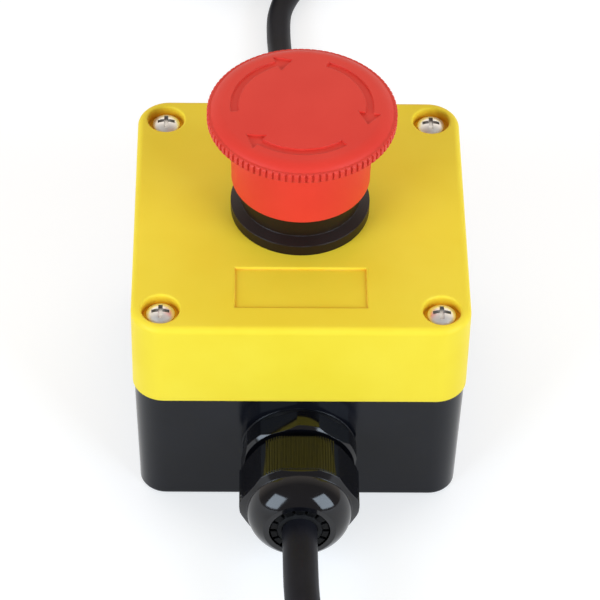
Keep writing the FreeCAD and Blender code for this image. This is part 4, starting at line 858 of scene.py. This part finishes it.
def weave(name, thread, gap):
    """A cloth of crossing threads with some fuzz."""
    finish = Finish(name, {"Sheen Weight": 0.25, "Specular IOR Level": 0.2})
    x_threads, y_threads, z_threads = (
        wave(finish, THREAD, axis) * share for axis, share in THREAD_SHARES.items())
    threads = x_threads + y_threads + z_threads
    fuzz = grain(finish, FUZZ_SIZE, FINE_DETAIL)
    raised = spread(finish, threads + FUZZ_SHARE * fuzz, *THREAD_RANGE)
    finish.show("Base Color", tint(finish, raised, gap, thread))
    finish.show("Roughness", CLOTH_ROUGH + FUZZ_ROUGHENS * fuzz)
    relief(finish, threads, THREAD_DEPTH, strength=THREAD_STRENGTH)
    return finish.material


tie_strap = weave("tie_strap", srgb(44, 44, 47), srgb(14, 14, 15))
print("woven:", tie_strap.name)

# %% [markdown]
# ## Metals
#
# The screws are zinc plated, the button's stem and the sleeves of the wires bright, the springs drawn wire
# and the contacts brass. A metal's colour is its reflection, so Metallic is 1 all over, and what differs is
# the colour, the fine turning marks, the dull patches of handling and a painted shade that darkens the
# hollows, such as the cross of a screw.

# %% Finishes of the metals
# The grey of the painted shade in the hollows of metals, and how far it reaches.
METAL_HOLLOW_SHADE = srgb(168, 166, 162)
METAL_SHADE_REACH = 1.2 * MM
METAL_ROUND = 0.12 * MM
PATCH_SIZE = 2.2 * MM
PATCH_RANGE = (0.38, 0.7)
PATCHES_ROUGHEN = 0.1
TURNING_ROUGHENS = 0.1
TURNING_DEPTH = 0.006 * MM


def metal(name, colour, dull, rough, marks_size, stretch):
    """A metal with dull patches, turning marks that are stretched along the axes, and painted shade in its
    hollows.
    """
    finish = Finish(name, {"Metallic": 1.0})
    soft_normal = rounded(finish, METAL_ROUND)
    patches = spread(finish, grain(finish, PATCH_SIZE, BLOOM_DETAIL), *PATCH_RANGE)
    marks = grain(finish, marks_size * MM, stretch=stretch)
    face = tint(finish, patches, colour, dull)
    # Painted shade: the hollows, such as the cross of a screw, turn grey.
    finish.show("Base Color", tint(finish, hollow_shade_share(finish, METAL_SHADE_REACH), face, METAL_HOLLOW_SHADE))
    finish.show("Roughness", rough + PATCHES_ROUGHEN * patches + TURNING_ROUGHENS * (marks - GRAIN_MIDDLE))
    relief(finish, marks, TURNING_DEPTH, soft_normal)
    return finish.material


zinc = metal("zinc_plate", srgb(250, 251, 251), dull=srgb(236, 238, 238), rough=0.36, marks_size=0.25,
             stretch=(1.0, 1.0, 3.0))
bright_steel = metal("bright_steel", srgb(205, 205, 205), dull=srgb(178, 178, 176), rough=0.18, marks_size=0.3,
                     stretch=(1.0, 1.0, 0.2))
spring_steel = metal("spring_steel", srgb(168, 170, 174), dull=srgb(140, 141, 144), rough=0.28, marks_size=0.2,
                     stretch=(1.0, 1.0, 4.0))
brass = metal("contact_brass", srgb(206, 172, 96), dull=srgb(176, 140, 74), rough=0.3, marks_size=0.3,
              stretch=(1.0, 0.2, 1.0))
print("metals:", zinc.name, bright_steel.name, spring_steel.name, brass.name)

# %% [markdown]
# ## Insulation of the wires
#
# The three wires are brown, blue, and green with a yellow stripe. The stripe could be a second curve on the
# wire, but it is flush, so it is a colour: it follows the wire because it depends only on V, which goes
# round the line.

# %% Finishes of the wires
WIRE_ROUGH = 0.36
WIRE_ROUGHENS = 0.14
WIRE_DUST = 1.2 * MM
WIRE_DUST_RANGE = (0.4, 0.75)
STRIPE_FROM = 0.6


def insulation(name, colour, bloom):
    """Plain insulation with a little dust."""
    finish = Finish(name, {"IOR": 1.5})
    dust = bloomed(finish, colour, bloom, WIRE_DUST, FINE_DETAIL, WIRE_DUST_RANGE)
    finish.show("Roughness", WIRE_ROUGH + WIRE_ROUGHENS * dust)
    return finish.material


def striped_insulation(name, colour, stripe):
    """Insulation with a stripe along it."""
    finish = Finish(name, {"IOR": 1.5})
    spot = finish.node("ShaderNodeTexCoord", {}, {}, "UV")
    around = finish.node("ShaderNodeSeparateXYZ", {}, {0: spot}, "Y")
    finish.show("Base Color", tint(finish, around > STRIPE_FROM, colour, stripe))
    finish.show("Roughness", WIRE_ROUGH + WIRE_ROUGHENS * grain(finish, WIRE_DUST))
    return finish.material


wire_finishes = {
    "brown": insulation("wire_brown", srgb(94, 58, 36), srgb(108, 72, 50)),
    "blue": insulation("wire_blue", srgb(40, 84, 158), srgb(56, 98, 168)),
    "earth": striped_insulation("wire_earth", srgb(38, 122, 58), srgb(226, 204, 52)),
}
print("wires:", ", ".join(wire_finishes))

# %% [markdown]
# ## Giving out the finishes
#
# Each CAD node gets one finish, and so does each piece that was made here.

# %% Dress every piece
ENDS = ("front", "rear")
SIDES = ("left", "right")
NODE_FINISHES = [
    (lid_yellow, ["lid_shell"]),
    (base_black, ["base_shell"]),
    (cap_red, ["mushroom_head"]),
    (collar_black, ["bezel_collar", "collar_nut", "contact_carrier"]),
    (gland_nylon, [f"{end}_gland_{word}" for end in ENDS for word in ("body", "locknut", "nut")]),
    (claw_nylon, [f"{end}_gland_claw" for end in ENDS]),
    (seal_rubber, ["lid_gasket", "collar_gasket"]),
    (seal_rubber, [f"{end}_gland_{word}" for end in ENDS for word in ("washer", "seal")]),
    (white_nylon, ["pusher", "pusher_foot"]),
    (zinc, ["lid_screws"]),
    (zinc, [f"{side}_block_terminal_screws" for side in SIDES]),
    (bright_steel, ["head_stem", "stem_clip", "twist_pin"]),
    (spring_steel, ["return_spring", "reset_spring"]),
    (spring_steel, [f"{side}_block_spring" for side in SIDES]),
    (block_grey, [f"{side}_block_housing" for side in SIDES]),
    (cover_pale, [f"{side}_block_cover" for side in SIDES]),
    (plunger_red, [f"{side}_block_plunger" for side in SIDES]),
    (brass, [f"{side}_block_{word}" for side in SIDES for word in ("fixed_contacts", "bridge")]),
    (splice_blue, ["earth_joint"]),
    (lead_sheath, [f"{end}_{word}" for end in ENDS for word in ("lead", "coil")]),
    (tie_strap, [f"{end}_tie" for end in ENDS]),
    (wire_finishes["blue"], [f"{end}_{word}" for end in ENDS for word in ("cores", "lead_end")]),
]
PIECE_FINISHES = [
    (lead_sheath, [front_lead, rear_lead]),
    (tie_strap, [front_tie, rear_tie]),
    (gland_nylon, [front_ribs, rear_ribs]),
    (spring_steel, springs),
]


def dress(piece, finish):
    """Gives a piece one finish in place of any other."""
    piece.data.materials.clear()
    piece.data.materials.append(finish)


for finish, names in NODE_FINISHES:
    for name in names:
        dress(nodes[name], finish)
for finish, pieces in PIECE_FINISHES:
    for piece in pieces:
        dress(piece, finish)
for (colour, word), piece in [*front_wires.items(), *rear_wires.items()]:
    dress(piece, bright_steel if word == "sleeve" else wire_finishes[colour])
dressed = sum(len(names) for finish, names in NODE_FINISHES)
print(dressed, "of", len(nodes), "nodes dressed")

# %% [markdown]
# ## Floor and light
#
# The photograph has a white ground. The floor is pale and matt, so that it keeps the shadow. For rays from
# the camera, and for mirror rays, a little glow lifts it to white. Lamps that were strong enough to do that
# would bleach the yellow.

# %% Floor
FLOOR_SIZE = 6.0
FLOOR_DROP = 0.05 * MM
FLOOR_GREY = (0.55, 0.55, 0.55, 1.0)
FLOOR_GLOW = 0.56
BLACK = (0.0, 0.0, 0.0, 1.0)
WHITE = (1.0, 1.0, 1.0, 1.0)


def ray_share(finish):
    """1 for rays that come from the camera, from a mirror or through glass, and 0 for the rest."""
    camera_ray = finish.node("ShaderNodeLightPath", {}, {}, "Is Camera Ray")
    mirror_ray = finish.node("ShaderNodeLightPath", {}, {}, "Is Glossy Ray")
    glass_ray = finish.node("ShaderNodeLightPath", {}, {}, "Is Transmission Ray")
    rays = camera_ray + mirror_ray + glass_ray
    return finish.node("ShaderNodeMath", {"operation": "MINIMUM"}, {0: rays, 1: 1.0})


floor_finish = Finish("pale_floor", {"Base Color": FLOOR_GREY, "Roughness": 0.9, "Specular IOR Level": 0.0,
                                     "Emission Strength": FLOOR_GLOW})
floor_finish.show("Emission Color", tint(floor_finish, ray_share(floor_finish), BLACK, WHITE))
floor_mesh = bmesh.new()
bmesh.ops.create_grid(floor_mesh, x_segments=1, y_segments=1, size=FLOOR_SIZE / 2)
floor_data = bpy.data.meshes.new("floor")
floor_mesh.to_mesh(floor_data)
floor_mesh.free()
floor = bpy.data.objects.new("floor", floor_data)
floor.location.z = -FLOOR_DROP
bpy.context.scene.collection.objects.link(floor)
dress(floor, floor_finish.material)
print("floor", FLOOR_SIZE, "m wide")

# %% [markdown]
# A sky that is white all round would put a milky shine on the black plastic, so only the side behind the
# object is white, as a studio's paper backdrop is, and the rest is dim.

# %% Sky
SKY_COLOUR = (1.1, 0.98, 0.87, 1.0)
SKY_DIM = 0.3
BACKDROP_FADES = (0.05, 0.55)


class Sky(Finish):
    """A world, written in the same way: its background takes the place of the surface shader."""

    def __init__(self, name, colour):
        self.material = bpy.data.worlds.new(name)
        self.material.use_nodes = True
        self.tree = self.material.node_tree
        self.surface = self.tree.nodes["Background"]
        self.surface.inputs["Color"].default_value = colour


sky = Sky("studio", SKY_COLOUR)
direction = sky.node("ShaderNodeTexCoord", {}, {}, "Generated")
behind = sky.node("ShaderNodeSeparateXYZ", {}, {0: direction}, "Y")
sky.show("Strength", SKY_DIM + (1.0 - SKY_DIM) * spread(sky, behind, *BACKDROP_FADES))
bpy.context.scene.world = sky.material
print("sky from", SKY_DIM, "in front to 1 behind")

# %% [markdown]
# Two large soft lamps stand low on the left and on the right. Their shapes show in the dome of the gland,
# which told where they were. They are a little cooler than the sky: the faces towards them are lemon yellow
# in the photograph, and the lid behind the button is amber.

# %% Lamps
LAMP_COLOUR = (0.85, 1.01, 1.18)
LAMP_WIDTH = 0.7
LAMP_POWER = 10.2
LAMP_SPOTS = {"left_softbox": (-0.82, -0.66, 0.44), "right_softbox": (0.82, -0.66, 0.44)}
for name, spot in LAMP_SPOTS.items():
    lamp = bpy.data.lights.new(name, "AREA")
    lamp.size = LAMP_WIDTH
    lamp.energy = LAMP_POWER
    lamp.color = LAMP_COLOUR
    softbox = bpy.data.objects.new(name, lamp)
    softbox.location = spot
    softbox.rotation_euler = (Vector(spot) - VIEW_TARGET).to_track_quat("Z", "Y").to_euler()
    bpy.context.scene.collection.objects.link(softbox)
bpy.context.scene.view_settings.view_transform = "Standard"
print(len(LAMP_SPOTS), "lamps")
